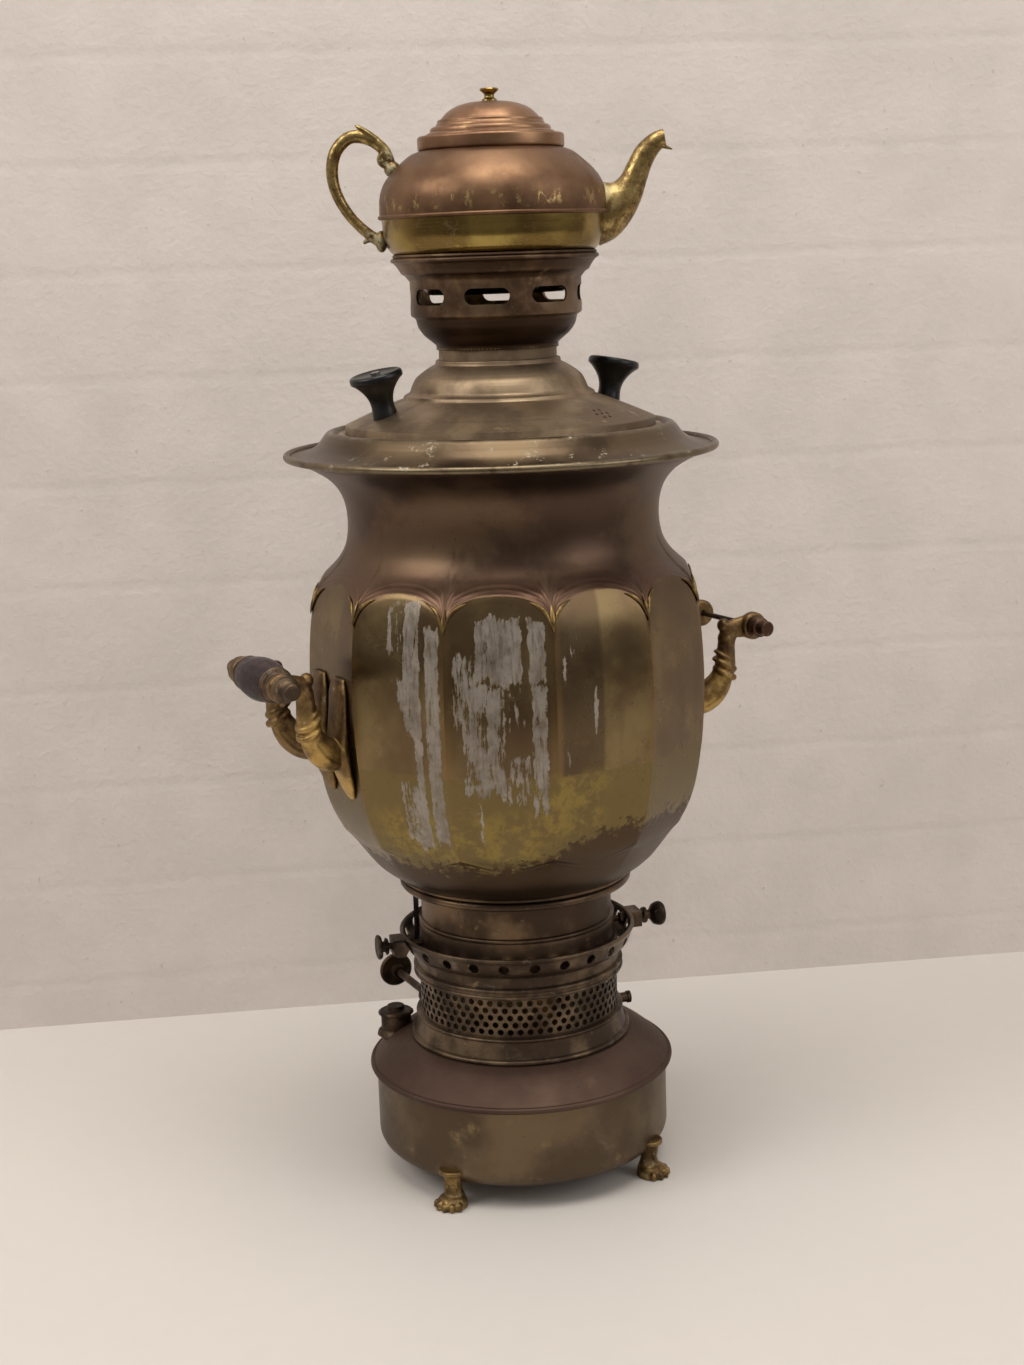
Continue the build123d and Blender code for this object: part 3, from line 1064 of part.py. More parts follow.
def teapot_line():
    """The bowl's outer line from the seam down to the base."""
    return [(TEAPOT_SEAM_RADIUS - 1.6, TEAPOT_SEAM_HEIGHT), (TEAPOT_SEAM_RADIUS - 2.4, CROWN_FLANGE_TOP + 11.5),
            (TEAPOT_SEAM_RADIUS - 5.6, CROWN_FLANGE_TOP + 4.2), (CROWN_SEAT_BORE - 0.9, CROWN_FLANGE_TOP),
            (CROWN_SEAT_BORE - 6.3, CROWN_FLANGE_TOP - 7), (CROWN_SEAT_BORE - 11.4, CROWN_FLANGE_TOP - 14),
            (TEAPOT_BASE_RADIUS, TEAPOT_BASE_HEIGHT)]


def teapot_bowl():
    """The spun bowl, bellied at the seam and flat below, with a thin ring that sits on the crown."""
    sheet = turned_sheet([teapot_line(), [(TEAPOT_BASE_RADIUS, TEAPOT_BASE_HEIGHT), (0, TEAPOT_BASE_HEIGHT)]],
                         TEAPOT_WALL)
    seat = tube(CROWN_FLANGE_RADIUS - 1.4, CROWN_SEAT_BORE - 1.6, CROWN_FLANGE_TOP, CROWN_FLANGE_TOP + 0.9)
    return sheet + seat


def shoulder_line():
    """The shoulder's outer line from the neck down to the seam."""
    return [(TEAPOT_NECK_RADIUS - 1.0, TEAPOT_NECK_LOW + 0.4), (48.6, 620), (54.2, 615.4), (59.4, 610.4),
            (63.4, 605), (65.8, 598.6), (66.6, 591.6), (TEAPOT_SEAM_RADIUS - 0.6, TEAPOT_SEAM_HEIGHT)]


def teapot_shoulder():
    """The raised copper shoulder with its seam bead."""
    sheet = turned_sheet([shoulder_line()], TEAPOT_WALL)
    return sheet + teapot_seam()


def teapot_seam():
    """The round bead where the shoulder laps over the bowl."""
    return bead(TEAPOT_SEAM_RADIUS - 0.6, TEAPOT_SEAM_HEIGHT + 1.5 * TEAPOT_SEAM_BEAD, TEAPOT_SEAM_BEAD)


def teapot_neck_ring():
    """The upright ring round the mouth, with a ledge for the lid inside."""
    low = TEAPOT_NECK_LOW
    top = TEAPOT_NECK_TOP
    radius = TEAPOT_NECK_RADIUS
    return turned([(TEAPOT_MOUTH_RADIUS, low + 0.5), (radius - 0.6, low + 0.5), (radius, low + 1.6), (radius, top - 1),
                   (radius - 0.8, top), (radius - 4.4, top), (radius - 4.4, top - 1.6), (TEAPOT_MOUTH_RADIUS, top - 1.6)])


def teapot_block():
    """The teapot's outer form, used to fit the spout and handle to it."""
    top = shoulder_line()
    low = teapot_line()
    body = spun([curve_through(top), Line(place(top[-1]), place(low[0])), curve_through(low),
                 Line(place(low[-1]), (0, 0, low[-1][1])), Line((0, 0, low[-1][1]), (0, 0, top[0][1])),
                 Line((0, 0, top[0][1]), place(top[0]))])
    return body + teapot_seam()


# Spout sections: centre out and up, lean of the section from upright in degrees, half height, half width
SPOUT_LINE = ((60.0, 584.5, 6, 18.5, 12.5), (68.0, 586.5, 12, 16.5, 11.5), (75.5, 591.5, 28, 12.0, 9.6),
              (81.0, 599.0, 42, 9.0, 7.8), (84.8, 608.0, 52, 7.4, 6.6), (89.5, 617.5, 48, 6.6, 5.8),
              (96.0, 624.2, 24, 5.6, 4.8), (101.0, 626.6, 10, 4.8, 4.2))


def spout_form(inset, extra):
    """A loft through the spout's oval sections, drawn in by an inset."""
    sections = []
    for index, (out, up, lean, high, wide) in enumerate(SPOUT_LINE):
        reach = out
        if index == 0:
            reach -= extra
        if index == len(SPOUT_LINE) - 1:
            reach += extra
        way = (cos(radians(lean)), 0, sin(radians(lean)))
        plane = Plane(origin=(reach, 0, up), x_dir=(0, 1, 0), z_dir=way)
        sections.append(plane * Ellipse(wide - inset, high - inset))
    return loft(sections)


def teapot_spout(block):
    """The hollow curved spout with the pointed drip beak under its mouth."""
    beak = loft([Plane(origin=(98.0, 0, 622.0), x_dir=(0, 1, 0), z_dir=(1, 0, -0.35)) * Ellipse(3.0, 1.8),
                 Plane(origin=(105.6, 0, 619.6), x_dir=(0, 1, 0), z_dir=(1, 0, -0.35)) * Ellipse(0.8, 0.5)])
    return spout_form(0, 0) + beak - spout_form(SPOUT_WALL, 0.6) - block


# Teapot handle in its plane: out from the axis, and up
HANDLE_CURVE = ((66.0, 572.0), (74.5, 578.2), (83.5, 587.5), (90.6, 600.0), (93.0, 613.0), (90.0, 625.0),
                (81.5, 632.3), (71.0, 631.0), (62.5, 624.8), (59.0, 616.5))


def teapot_handle(block):
    """The cast C handle with its curl, its thumb leaf and the pads soldered to the pot."""
    route = Spline(*[(-out, 0, up) for out, up in HANDLE_CURVE])
    bar = sweep(Plane(origin=route @ 0, z_dir=route % 0) * Ellipse(TEAPOT_HANDLE_THICK + 0.5, TEAPOT_HANDLE_THICK), route)
    curl = Pos(-61.8, 0, 619.0) * (Rot(90, 0, 0) * Cylinder(4.6, 7.4))
    leaf = loft([Plane(origin=(-66.0, 0, 630.2), x_dir=(0, 1, 0), z_dir=(-1, 0, 0.7)) * Ellipse(3.4, 2.2),
                 Plane(origin=(-72.4, 0, 636.0), x_dir=(0, 1, 0), z_dir=(-1, 0, 0.62)) * Ellipse(3.0, 1.8),
                 Plane(origin=(-77.6, 0, 639.0), x_dir=(0, 1, 0), z_dir=(-1, 0, 0.5)) * Ellipse(1.4, 0.9)])
    pads = Pos(-57.0, 0, 614.0) * (Rot(0, -40, 0) * Cylinder(6.5, 9)) + Pos(-66.0, 0, 573.5) * (
        Rot(0, -75, 0) * Cylinder(7.5, 6))
    return bar + curl + leaf + pads - block


def teapot_lid():
    """The stepped copper lid with a flange that drops in the neck ring."""
    top = TEAPOT_LID_TOP
    seat = TEAPOT_NECK_TOP
    rim = TEAPOT_NECK_RADIUS - 4.4 - LIFT_GAP
    crest = [(0, top), (TEAPOT_KNOB_RADIUS, top)]
    dome = [crest[-1], (17.5, top - 2.0), (24.0, 646.2), (27.6, 642.6), (29.2, 639.6)]
    first = [dome[-1], (31.2, 638.6), (31.6, 636.8)]
    second = [first[-1], (34.4, 635.6), (35.4, 633.6)]
    edge = [second[-1], (rim, seat - 0.4)]
    sheet = turned_sheet([crest, dome, first, second, edge], TEAPOT_WALL)
    plug = TEAPOT_MOUTH_RADIUS - LIFT_GAP
    return sheet + tube(plug, plug - TEAPOT_WALL, seat - 9, seat - 0.3) + tube(rim, plug - TEAPOT_WALL, seat - 1.6,
                                                                             seat - 0.3)


def teapot_lid_knob():
    """The small turned spool on the teapot's lid."""
    low = TEAPOT_LID_TOP
    radius = TEAPOT_KNOB_RADIUS
    top = low + TEAPOT_KNOB_HEIGHT
    return turned([(0, low), (radius * 0.8, low), (radius * 0.78, low + 1.1), (radius * 0.5, low + 2.2),
                   (radius * 0.52, low + 3.6), (radius * 0.95, top - 1.6), (radius, top - 0.9), (radius * 0.9, top),
                   (0, top - 0.5)])


LEFT_HEAD = ((2.5, 5.2), (3.6, 5.4), (4.4, 3.4), (6.4, 3.4), (7.2, 7.4), (8.8, 7.6), (9.4, 6.8), (9.4, 0))
RIGHT_HEAD = ((2.5, 5.0), (4.6, 5.2), (5.4, 3.0), (7.2, 3.0), (9.6, 6.6), (12.0, 7.5), (14.6, 7.6), (16.6, 6.2),
              (17.2, 3.6), (17.4, 0))


def build():
    """Make every piece and write it."""
    os.makedirs("parts", exist_ok=True)
    save("tank_drum", tank_drum(), STOVE_TURN)
    save("tank_top", tank_top(), STOVE_TURN)
    foot = paw_foot()
    for number in range(FOOT_COUNT):
        save(f"paw_foot_{number + 1}", foot, STOVE_TURN + FOOT_FIRST_ANGLE + 360 / FOOT_COUNT * number)
    save("filler_neck", filler_neck(), STOVE_TURN)
    save("filler_cap", filler_cap(), STOVE_TURN)

    save("burner_collar", burner_collar(), BURNER_TURN)
    save("burner_plate", burner_plate(), BURNER_TURN)
    save("burner_basket", burner_basket(), BURNER_TURN)
    save("burner_band", burner_band(), BURNER_TURN)
    save("outer_wick_tube", outer_wick_tube(), BURNER_TURN)
    save("inner_air_tube", inner_air_tube(), BURNER_TURN)
    save("wick", wick(), BURNER_TURN)
    save("flame_spreader", flame_spreader(), BURNER_TURN)
    save("wick_spindle", wick_spindle(), BURNER_TURN)
    save("spindle_gland", spindle_gland(), BURNER_TURN)
    save("spindle_bracket", spindle_bracket(), BURNER_TURN)
    save("wick_knob", wick_knob(), BURNER_TURN)
    save("side_stub", side_stub(), BURNER_TURN)

    save("gallery_ring", gallery_ring(), STOVE_TURN)
    save("gallery_fingers", gallery_fingers(), STOVE_TURN)
    save("left_clamp_block", clamp_block(0), STOVE_TURN)
    save("right_clamp_block", clamp_block(180), STOVE_TURN)
    save("clamp_nut", clamp_nut(), STOVE_TURN)
    save("left_thumb_screw", thumb_screw(0, LEFT_HEAD), STOVE_TURN)
    save("right_thumb_screw", thumb_screw(180, RIGHT_HEAD), STOVE_TURN)
    save("gallery_strap", gallery_strap(), STOVE_TURN)

    outer = urn_block(0)
    save("urn_shell", urn_shell(outer))
    save("base_ring", base_ring())
    save("base_sleeve", base_sleeve())
    save("flue_tube", flue_tube())
    save("rim_ring", rim_ring())
    for side, name in ((1, "front"), (-1, "rear")):
        arm = handle_arm(side) - outer
        save(f"left_handle_arm_{name}", arm)
        save(f"right_handle_arm_{name}", mirror(arm, Plane.YZ))
    save("left_handle_rod", handle_rod())
    save("right_handle_rod", handle_rod(), 180)
    save("left_rod_caps", rod_nuts(True))
    save("right_rod_caps", rod_nuts(False), 180)
    save("handle_grip", handle_grip())
    save("grip_ferrules", grip_ferrules())

    save("tap_plate", tap_plate(outer))
    save("tap_body", tap_body(outer))
    save("tap_key", tap_key())
    save("tap_nut", tap_nut())

    save("lid", lid())
    knob = lid_knob()
    save("lid_knob_left", knob)
    save("lid_knob_right", knob, 180)
    save("lid_knob_studs", lid_studs())
    save("crown", crown(), CROWN_TURN)

    block = teapot_block()
    save("teapot_bowl", teapot_bowl(), TEAPOT_TURN)
    save("teapot_shoulder", teapot_shoulder(), TEAPOT_TURN)
    save("teapot_neck_ring", teapot_neck_ring(), TEAPOT_TURN)
    save("teapot_spout", teapot_spout(block), TEAPOT_TURN)
    save("teapot_handle", teapot_handle(block), TEAPOT_TURN)
    save("teapot_lid", teapot_lid(), TEAPOT_TURN)
    save("teapot_lid_knob", teapot_lid_knob(), TEAPOT_TURN)


build()
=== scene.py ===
import bisect
from math import atan2, cos, degrees, exp, hypot, pi, radians, sin

import bmesh
import bpy
from mathutils import Matrix, Vector


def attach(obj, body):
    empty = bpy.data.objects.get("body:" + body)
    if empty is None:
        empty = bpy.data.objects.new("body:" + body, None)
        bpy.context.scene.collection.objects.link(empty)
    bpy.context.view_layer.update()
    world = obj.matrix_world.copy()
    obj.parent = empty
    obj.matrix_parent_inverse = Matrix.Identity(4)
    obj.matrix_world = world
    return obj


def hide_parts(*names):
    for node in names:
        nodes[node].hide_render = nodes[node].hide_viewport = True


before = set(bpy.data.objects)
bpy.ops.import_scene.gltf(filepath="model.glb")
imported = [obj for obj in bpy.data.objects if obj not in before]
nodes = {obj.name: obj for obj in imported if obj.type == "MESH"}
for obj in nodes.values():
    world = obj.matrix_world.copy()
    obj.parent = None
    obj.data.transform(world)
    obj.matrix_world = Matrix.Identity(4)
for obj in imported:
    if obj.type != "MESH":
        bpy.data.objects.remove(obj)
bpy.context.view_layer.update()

# Camera and room. The samovar stands on a pale table top in soft daylight, seen from a little above. Beyond
# the table the floor is painted dark, a painted shade that stands for the light falling off, so its polished
# panels mirror a bright table under a dimmer room. The wall shows only on its room side, so the samovar can
# be seen from behind it too.
camera_distance = 1.237
camera_height = 0.562
camera_turn = radians(62.5)
camera_pitch = radians(11.69)
camera_roll = radians(1.9)
camera_yaw = radians(0.09)

heading = Vector((-cos(camera_turn), -sin(camera_turn), 0))
right = Vector((-sin(camera_turn), cos(camera_turn), 0))
heading = (heading * cos(camera_yaw) + right * sin(camera_yaw)).normalized()
right = heading.cross(Vector((0, 0, 1)))
look = heading * cos(camera_pitch) - Vector((0, 0, 1)) * sin(camera_pitch)
up = right.cross(look)
rolled_up = up * cos(camera_roll) + right * sin(camera_roll)
rolled_right = right * cos(camera_roll) - up * sin(camera_roll)

camera_data = bpy.data.cameras.new("camera")
camera_data.sensor_width = 36.0
camera_data.lens = 54.36
camera_data.clip_end = 100.0
camera = bpy.data.objects.new("camera", camera_data)
bpy.context.scene.collection.objects.link(camera)
turn = Matrix((rolled_right, rolled_up, -look)).transposed()
place = Vector((cos(camera_turn), sin(camera_turn), 0)) * camera_distance + Vector((0, 0, camera_height))
camera.matrix_world = Matrix.Translation(place) @ turn.to_4x4()
bpy.context.scene.camera = camera
bpy.context.scene.view_settings.view_transform = "Standard"


class Wire:
    """A node's output. Sums, differences, products and shares of wires are Math nodes in the same tree."""

    def __init__(self, tree, socket):
        self.tree = tree
        self.socket = socket

    def __add__(self, other):
        return calc("ADD", self, other)

    def __sub__(self, other):
        return calc("SUBTRACT", self, other)

    def __mul__(self, other):
        return calc("MULTIPLY", self, other)

    def __truediv__(self, other):
        return calc("DIVIDE", self, other)

    def __radd__(self, other):
        return calc("ADD", other, self)

    def __rsub__(self, other):
        return calc("SUBTRACT", other, self)


def feed(socket, value):
    """A socket takes a wire or a plain value."""
    if isinstance(value, Wire):
        value.tree.links.new(value.socket, socket)
    else:
        socket.default_value = value


def add(kind, *values, tree=None, how=None, output=0, **named):
    """The wire of a new node, with its settings and inputs filled in, in the tree of the wires it takes."""
    tree = tree or next(value.tree for value in (*values, *named.values()) if isinstance(value, Wire))
    made = tree.nodes.new(kind)
    for key, value in (how or {}).items():
        setattr(made, key, value)
    for index, value in enumerate(values):
        feed(made.inputs[index], value)
    for label, value in named.items():
        feed(made.inputs[label.replace("_", " ")], value)
    return Wire(tree, made.outputs[output])


def calc(operation, *values):
    """The result of a Math node."""
    return add("ShaderNodeMath", *values, how={"operation": operation})


def fade(value, low, high):
    """0 below low, 1 above high, and smooth between."""
    return add("ShaderNodeMapRange", how={"interpolation_type": "SMOOTHSTEP"}, Value=value, From_Min=low,
               From_Max=high)


def split(where):
    """The X, Y and Z of a place."""
    first = add("ShaderNodeSeparateXYZ", where)
    return [Wire(first.tree, output) for output in first.socket.node.outputs]


def stretched(where, *scale):
    """A place scaled along X, Y and Z, so that a pattern on it gets longer where the scale is small."""
    return add("ShaderNodeMapping", Vector=where, Scale=scale)


def blend_colours(share, first, second):
    """The first colour going over to the second by a share."""
    tree = share.tree
    made = tree.nodes.new("ShaderNodeMix")
    made.data_type = "RGBA"
    for index, value in ((0, share), (6, first), (7, second)):
        feed(made.inputs[index], value)
    return Wire(tree, made.outputs[2])


def spots(where, scale, detail=4.0, rough=0.55, seed=0.0):
    """Grey noise of a given number of features per metre."""
    shifted = add("ShaderNodeMapping", Vector=where, Location=(seed, seed * 0.7, -seed * 0.4))
    return add("ShaderNodeTexNoise", Vector=shifted, Scale=scale, Detail=detail, Roughness=rough)


def shade(name, colour, metallic=0.0, roughness=0.5, bump=None, bump_depth=0.0002, **extra):
    """The tree of a material, whose Principled shader is fed what the caller made."""
    tree = bpy.data.materials[name].node_tree
    sockets = tree.nodes["Principled BSDF"].inputs
    feed(sockets["Base Color"], colour)
    feed(sockets["Metallic"], metallic)
    feed(sockets["Roughness"], roughness)
    for label, value in extra.items():
        feed(sockets[label.replace("_", " ")], value)
    if bump is not None:
        feed(sockets["Normal"], add("ShaderNodeBump", Height=bump, Distance=bump_depth, Strength=1.0))
    return tree


def begin(name):
    """The Object coordinates in a new material."""
    material = bpy.data.materials.new(name)
    material.use_nodes = True
    return add("ShaderNodeTexCoord", tree=material.node_tree, output="Object")


where = begin("table_top")
parts = split(where)
towards = parts[0] * cos(camera_turn) + parts[1] * sin(camera_turn)
table_near = (0.60, 0.565, 0.53, 1)
table_far_painted_shade = (0.16, 0.14, 0.125, 1)
bright_reach = 1.02
grain = spots(where, 60.0, 6.0, 0.7)
# painted shade: past bright_reach the floor is coloured dark to stand for the light falling off in a dimmer
# room
table_colour = blend_colours(fade(towards, bright_reach, bright_reach + 0.12), table_near, table_far_painted_shade)
table_colour = blend_colours(fade(grain, 0.3, 0.7) * 0.12, table_colour, (0.52, 0.49, 0.46, 1))
shade("table_top", table_colour, roughness=0.5)
floor_radius = 14.0
floor_mesh = bpy.data.meshes.new("table_top")
edge = [(floor_radius * cos(2 * pi * k / 96), floor_radius * sin(2 * pi * k / 96), 0) for k in range(96)]
floor_mesh.from_pydata(edge, [], [tuple(range(96))])
floor_mesh.materials.append(bpy.data.materials["table_top"])
floor = bpy.data.objects.new("table_top", floor_mesh)
bpy.context.scene.collection.objects.link(floor)

where = begin("wall_paint")
plaster = spots(where, 14.0, 6.0, 0.6, 4.0)
pits = spots(where, 170.0, 4.0, 0.6, 8.0)
course_height = 0.075
wall_level = split(where)[2]
course = calc("FRACT", (wall_level + plaster * 0.008) / course_height)
joint_line = 1.0 - fade(calc("ABSOLUTE", course - 0.5), 0.0, 0.09)
wall_colour = blend_colours(fade(plaster, 0.3, 0.7), (0.66, 0.60, 0.56, 1), (0.60, 0.545, 0.505, 1))
wall_colour = blend_colours(joint_line * 0.05, wall_colour, (0.45, 0.41, 0.38, 1))
wall_colour = blend_colours(fade(pits, 0.68, 0.74) * 0.35, wall_colour, (0.30, 0.26, 0.24, 1))
wall_relief = plaster * 0.6 + pits - joint_line * 0.35
tree = shade("wall_paint", wall_colour, roughness=0.8, bump=wall_relief, bump_depth=0.0006)
behind = add("ShaderNodeNewGeometry", tree=tree, output="Backfacing")
clear = add("ShaderNodeBsdfTransparent", tree=tree)
painted = Wire(tree, tree.nodes["Principled BSDF"].outputs[0])
feed(tree.nodes["Material Output"].inputs["Surface"], add("ShaderNodeMixShader", behind, painted, clear))
wall_distance = 0.29
wall_mesh = bpy.data.meshes.new("wall")
wall_mesh.from_pydata([(-6, 0, 0), (6, 0, 0), (6, 0, 5), (-6, 0, 5)], [], [(3, 2, 1, 0)])
wall_mesh.transform(Matrix.Rotation(camera_turn - pi / 2 + radians(7), 4, "Z")
                    @ Matrix.Translation((0, -wall_distance, 0)))
wall_mesh.materials.append(bpy.data.materials["wall_paint"])
wall = bpy.data.objects.new("wall", wall_mesh)
bpy.context.scene.collection.objects.link(wall)

world = bpy.data.worlds.new("room")
world.use_nodes = True
bpy.context.scene.world = world
height = split(add("ShaderNodeTexCoord", tree=world.node_tree, output="Generated"))[2]
sky = blend_colours(fade(height, 0.0, 0.6), (0.30, 0.275, 0.255, 1), (0.48, 0.455, 0.43, 1))
feed(world.node_tree.nodes["Background"].inputs["Color"], sky)

# name, bearing from the camera's, distance, height, size, power, tint
lamps = (("window", -62, 1.9, 1.9, 1.3, 24.0, (1.0, 0.97, 0.93)),
         ("ceiling", 8, 0.5, 2.3, 1.6, 30.0, (1.0, 0.96, 0.9)),
         ("fill", 62, 2.2, 1.4, 1.6, 13.0, (1.0, 0.98, 0.96)))
for label, side, distance, level, size, power, tint in lamps:
    lamp_data = bpy.data.lights.new(label, "AREA")
    lamp_data.shape = "DISK"
    lamp_data.size = size
    lamp_data.energy = power
    lamp_data.color = tint
    lamp = bpy.data.objects.new(label, lamp_data)
    bpy.context.scene.collection.objects.link(lamp)
    bearing = camera_turn + radians(side)
    lamp.location = (distance * cos(bearing), distance * sin(bearing), level)
    lamp.rotation_euler = (Vector((0, 0, 0.33)) - lamp.location).to_track_quat("-Z", "Y").to_euler()


# Oil tank of the stove: a drawn drum under a spun cone, joined by a rolled seam. Spun sheet brass, gone
# purplish brown on the cone, with yellow rubbed through on the drum and a pale bloom left by spilt water.
def through(points, steps=8):
    """Points along a smooth line through the given ones."""
    line = []
    last = len(points) - 1
    for index in range(last):
        before = Vector(points[max(index - 1, 0)])
        start = Vector(points[index])
        end = Vector(points[index + 1])
        after = Vector(points[min(index + 2, last)])
        bend = 2 * before - 5 * start + 4 * end - after
        twist = 3 * start - before - 3 * end + after
        for step in range(steps):
            t = step / steps
            line.append(0.5 * ((2 * start) + (end - before) * t + bend * t * t + twist * t ** 3))
    return [tuple(p) for p in line] + [tuple(points[-1])]


def arc(centre, radius, first, last, steps=8):
    """Points on an arc, from one angle to another in degrees."""
    turns = [radians(first + (last - first) * k / steps) for k in range(steps + 1)]
    return [(centre[0] + radius * cos(a), centre[1] + radius * sin(a)) for a in turns]


def walled(line, wall):
    """A closed outline: the line, and its copy moved by the wall to the right of the way that it runs."""
    inner = []
    for index, (radius, level) in enumerate(line):
        before = line[max(index - 1, 0)]
        after = line[min(index + 1, len(line) - 1)]
        way = Vector((after[0] - before[0], after[1] - before[1])).normalized()
        inner.append((max(radius + way.y * wall, 0.0), level - way.x * wall))
    return list(line) + inner[::-1]


def eased(points, radius=0.4, steps=3):
    """A closed outline with its corners rounded."""
    out = []
    count = len(points)
    for index in range(count):
        corner = Vector(points[index])
        back = Vector(points[index - 1]) - corner
        ahead = Vector(points[(index + 1) % count]) - corner
        if corner.x < 0.01 or back.length < 0.02 or ahead.length < 0.02:
            out.append(tuple(corner))
            continue
        cut = min(radius, back.length * 0.45, ahead.length * 0.45)
        start = corner + back.normalized() * cut
        end = corner + ahead.normalized() * cut
        for step in range(steps + 1):
            t = step / steps
            out.append(tuple(start * (1 - t) ** 2 + corner * 2 * t * (1 - t) + end * t * t))
    return out


def finish_mesh(work, name, sharp=38.0):
    """A smooth-shaded mesh with creases past an angle, from a bmesh in millimetres."""
    bmesh.ops.remove_doubles(work, verts=work.verts, dist=0.004)
    bmesh.ops.recalc_face_normals(work, faces=work.faces)
    for vertex in work.verts:
        vertex.co *= 0.001
    mesh = bpy.data.meshes.new(name)
    work.to_mesh(mesh)
    work.free()
    mesh.shade_smooth()
    mesh.set_sharp_from_angle(angle=radians(sharp))
    return mesh


def lathe_into(work, outline, steps=128, move=None):
    """Adds a solid turned about Z from a closed outline of (radius, height) in millimetres."""
    move = move or Matrix.Identity(4)
    rings = []
    for radius, level in outline:
        if radius < 0.001:
            rings.append([work.verts.new(move @ Vector((0, 0, level)))])
        else:
            turns = [2 * pi * k / steps for k in range(steps)]
            rings.append([work.verts.new(move @ Vector((radius * cos(a), radius * sin(a), level)))
                          for a in turns])
    for index, ring in enumerate(rings):
        ahead = rings[(index + 1) % len(rings)]
        for k in range(steps):
            corners = [ring[k % len(ring)], ring[(k + 1) % len(ring)], ahead[(k + 1) % len(ahead)],
                       ahead[k % len(ahead)]]
            corners = list(dict.fromkeys(corners))
            if len(corners) > 2:
                work.faces.new(corners)


def piece(name, mesh, body, material, replaced=()):
    """A finished piece at the origin that rides on its body and stands for its CAD nodes."""
    made = bpy.data.objects.new(name, mesh)
    bpy.context.scene.collection.objects.link(made)
    mesh.materials.clear()
    mesh.materials.append(bpy.data.materials[material])
    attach(made, body)
    if replaced:
        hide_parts(*replaced)


def lathed(name, outlines, body, material, replaced=(), steps=128, move=None):
    """A piece turned from one or more closed outlines."""
    work = bmesh.new()
    for outline in outlines:
        lathe_into(work, outline, steps, move)
    piece(name, finish_mesh(work, name), body, material, replaced)


def dress(material, slot, *names):
    """Gives CAD nodes, which are shown as they are, a material."""
    for name in names:
        nodes[name].data.materials.clear()
        nodes[name].data.materials.append(bpy.data.materials[material])


def tarnish(name, dark, plain, bright, share=(0.42, 0.62), rubbed=(0.62, 0.74), scale=26.0,
            rough=(0.3, 0.46), seed=0.0, pits=0.00005, lime=0.0, metal=1.0, spin=0.0):
    """Old metal: a tone clouded by tarnish and rubbed bright, with specks, turning lines and lime."""
    where = begin(name)
    clouds = spots(where, scale, 6.0, 0.6, seed)
    patches = spots(where, scale * 2.7, 5.0, 0.65, seed + 3.1)
    grains = spots(where, scale * 24, 3.0, 0.6, seed + 5.3)
    colour = blend_colours(fade(clouds, *share), dark, plain)
    colour = blend_colours(fade(patches, *rubbed), colour, bright)
    marks = fade(grains, 0.66, 0.74) * fade(patches, 0.35, 0.6)
    colour = blend_colours(marks * 0.75, colour, (0.02, 0.012, 0.008, 1))
    polish = add("ShaderNodeMapRange", Value=clouds, From_Min=0.3, From_Max=0.7, To_Min=rough[1],
                 To_Max=rough[0])
    polish = polish + marks * 0.25
    shine = metal - marks * 0.5
    relief = grains + patches * 1.5
    if lime > 0:
        wet = spots(where, scale * 1.6, 7.0, 0.7, seed + 9.7)
        crust = fade(wet, 0.58, 0.68) * fade(grains, 0.4, 0.6) * lime
        colour = blend_colours(crust, colour, (0.33, 0.30, 0.24, 1))
        shine = calc("MAXIMUM", shine - crust, 0.0)
        polish = polish + crust * 0.4
    if spin > 0:
        level = split(where)[2]
        lines = add("ShaderNodeTexNoise", how={"noise_dimensions": "1D"}, W=level, Scale=1400.0, Detail=3.0)
        relief = relief + lines * spin
        polish = polish + (lines - 0.5) * 0.16
    return shade(name, colour, shine, polish, relief, pits)


tarnish("smoked_brass", (0.068, 0.039, 0.028, 1), (0.102, 0.062, 0.044, 1), (0.135, 0.085, 0.060, 1),
        scale=8.0, rough=(0.50, 0.62), seed=1.0, lime=0.10, metal=0.8, spin=0.5)
tarnish("drum_brass", (0.095, 0.066, 0.042, 1), (0.165, 0.118, 0.070, 1), (0.25, 0.18, 0.085, 1),
        scale=11.0, rough=(0.38, 0.52), seed=2.3, rubbed=(0.56, 0.72), lime=0.2, metal=0.92, spin=0.5)

seam_level = 66.0
drum_line = [(91.5, seam_level)] + arc((81.5, 24), 10, 0, -90, 10) + [(26.0, 14.0)]
lathed("tank_drum_skin", [walled(drum_line, 1.2)], "stove", "drum_brass", ["tank_drum"],
       steps=160)

cone_line = [(57.6, 84.0), (69.0, 84.0)] + through([(70.0, 83.9), (76.0, 81.4), (82.0, 77.6), (88.0, 72.8),
                                                    (92.0, 69.0), (93.4, 67.6)], 6)
seam_bead = arc((93.55, seam_level), 2.0, 0, 345, 15)
lathed("tank_cone_skin", [walled(cone_line, 1.2), seam_bead], "stove", "smoked_brass", ["tank_top"],
       steps=160)


# Four lion-paw feet: brass castings, each a round head on the drum's corner, a waisted ankle and a paw of
# five toes. Rough sand-cast skin, yellow where hands and cloths rub it, brown in the creases.
def baked(made, name):
    """The mesh of an object with its modifiers worked out; the object itself goes."""
    bpy.context.view_layer.update()
    depsgraph = bpy.context.evaluated_depsgraph_get()
    mesh = bpy.data.meshes.new_from_object(made.evaluated_get(depsgraph))
    mesh.name = name
    old = made.data
    bpy.data.objects.remove(made)
    bpy.data.meshes.remove(old)
    return mesh


def helper(mesh, name="helper"):
    """A linked object that carries modifiers for a while."""
    made = bpy.data.objects.new(name, mesh)
    bpy.context.scene.collection.objects.link(made)
    return made


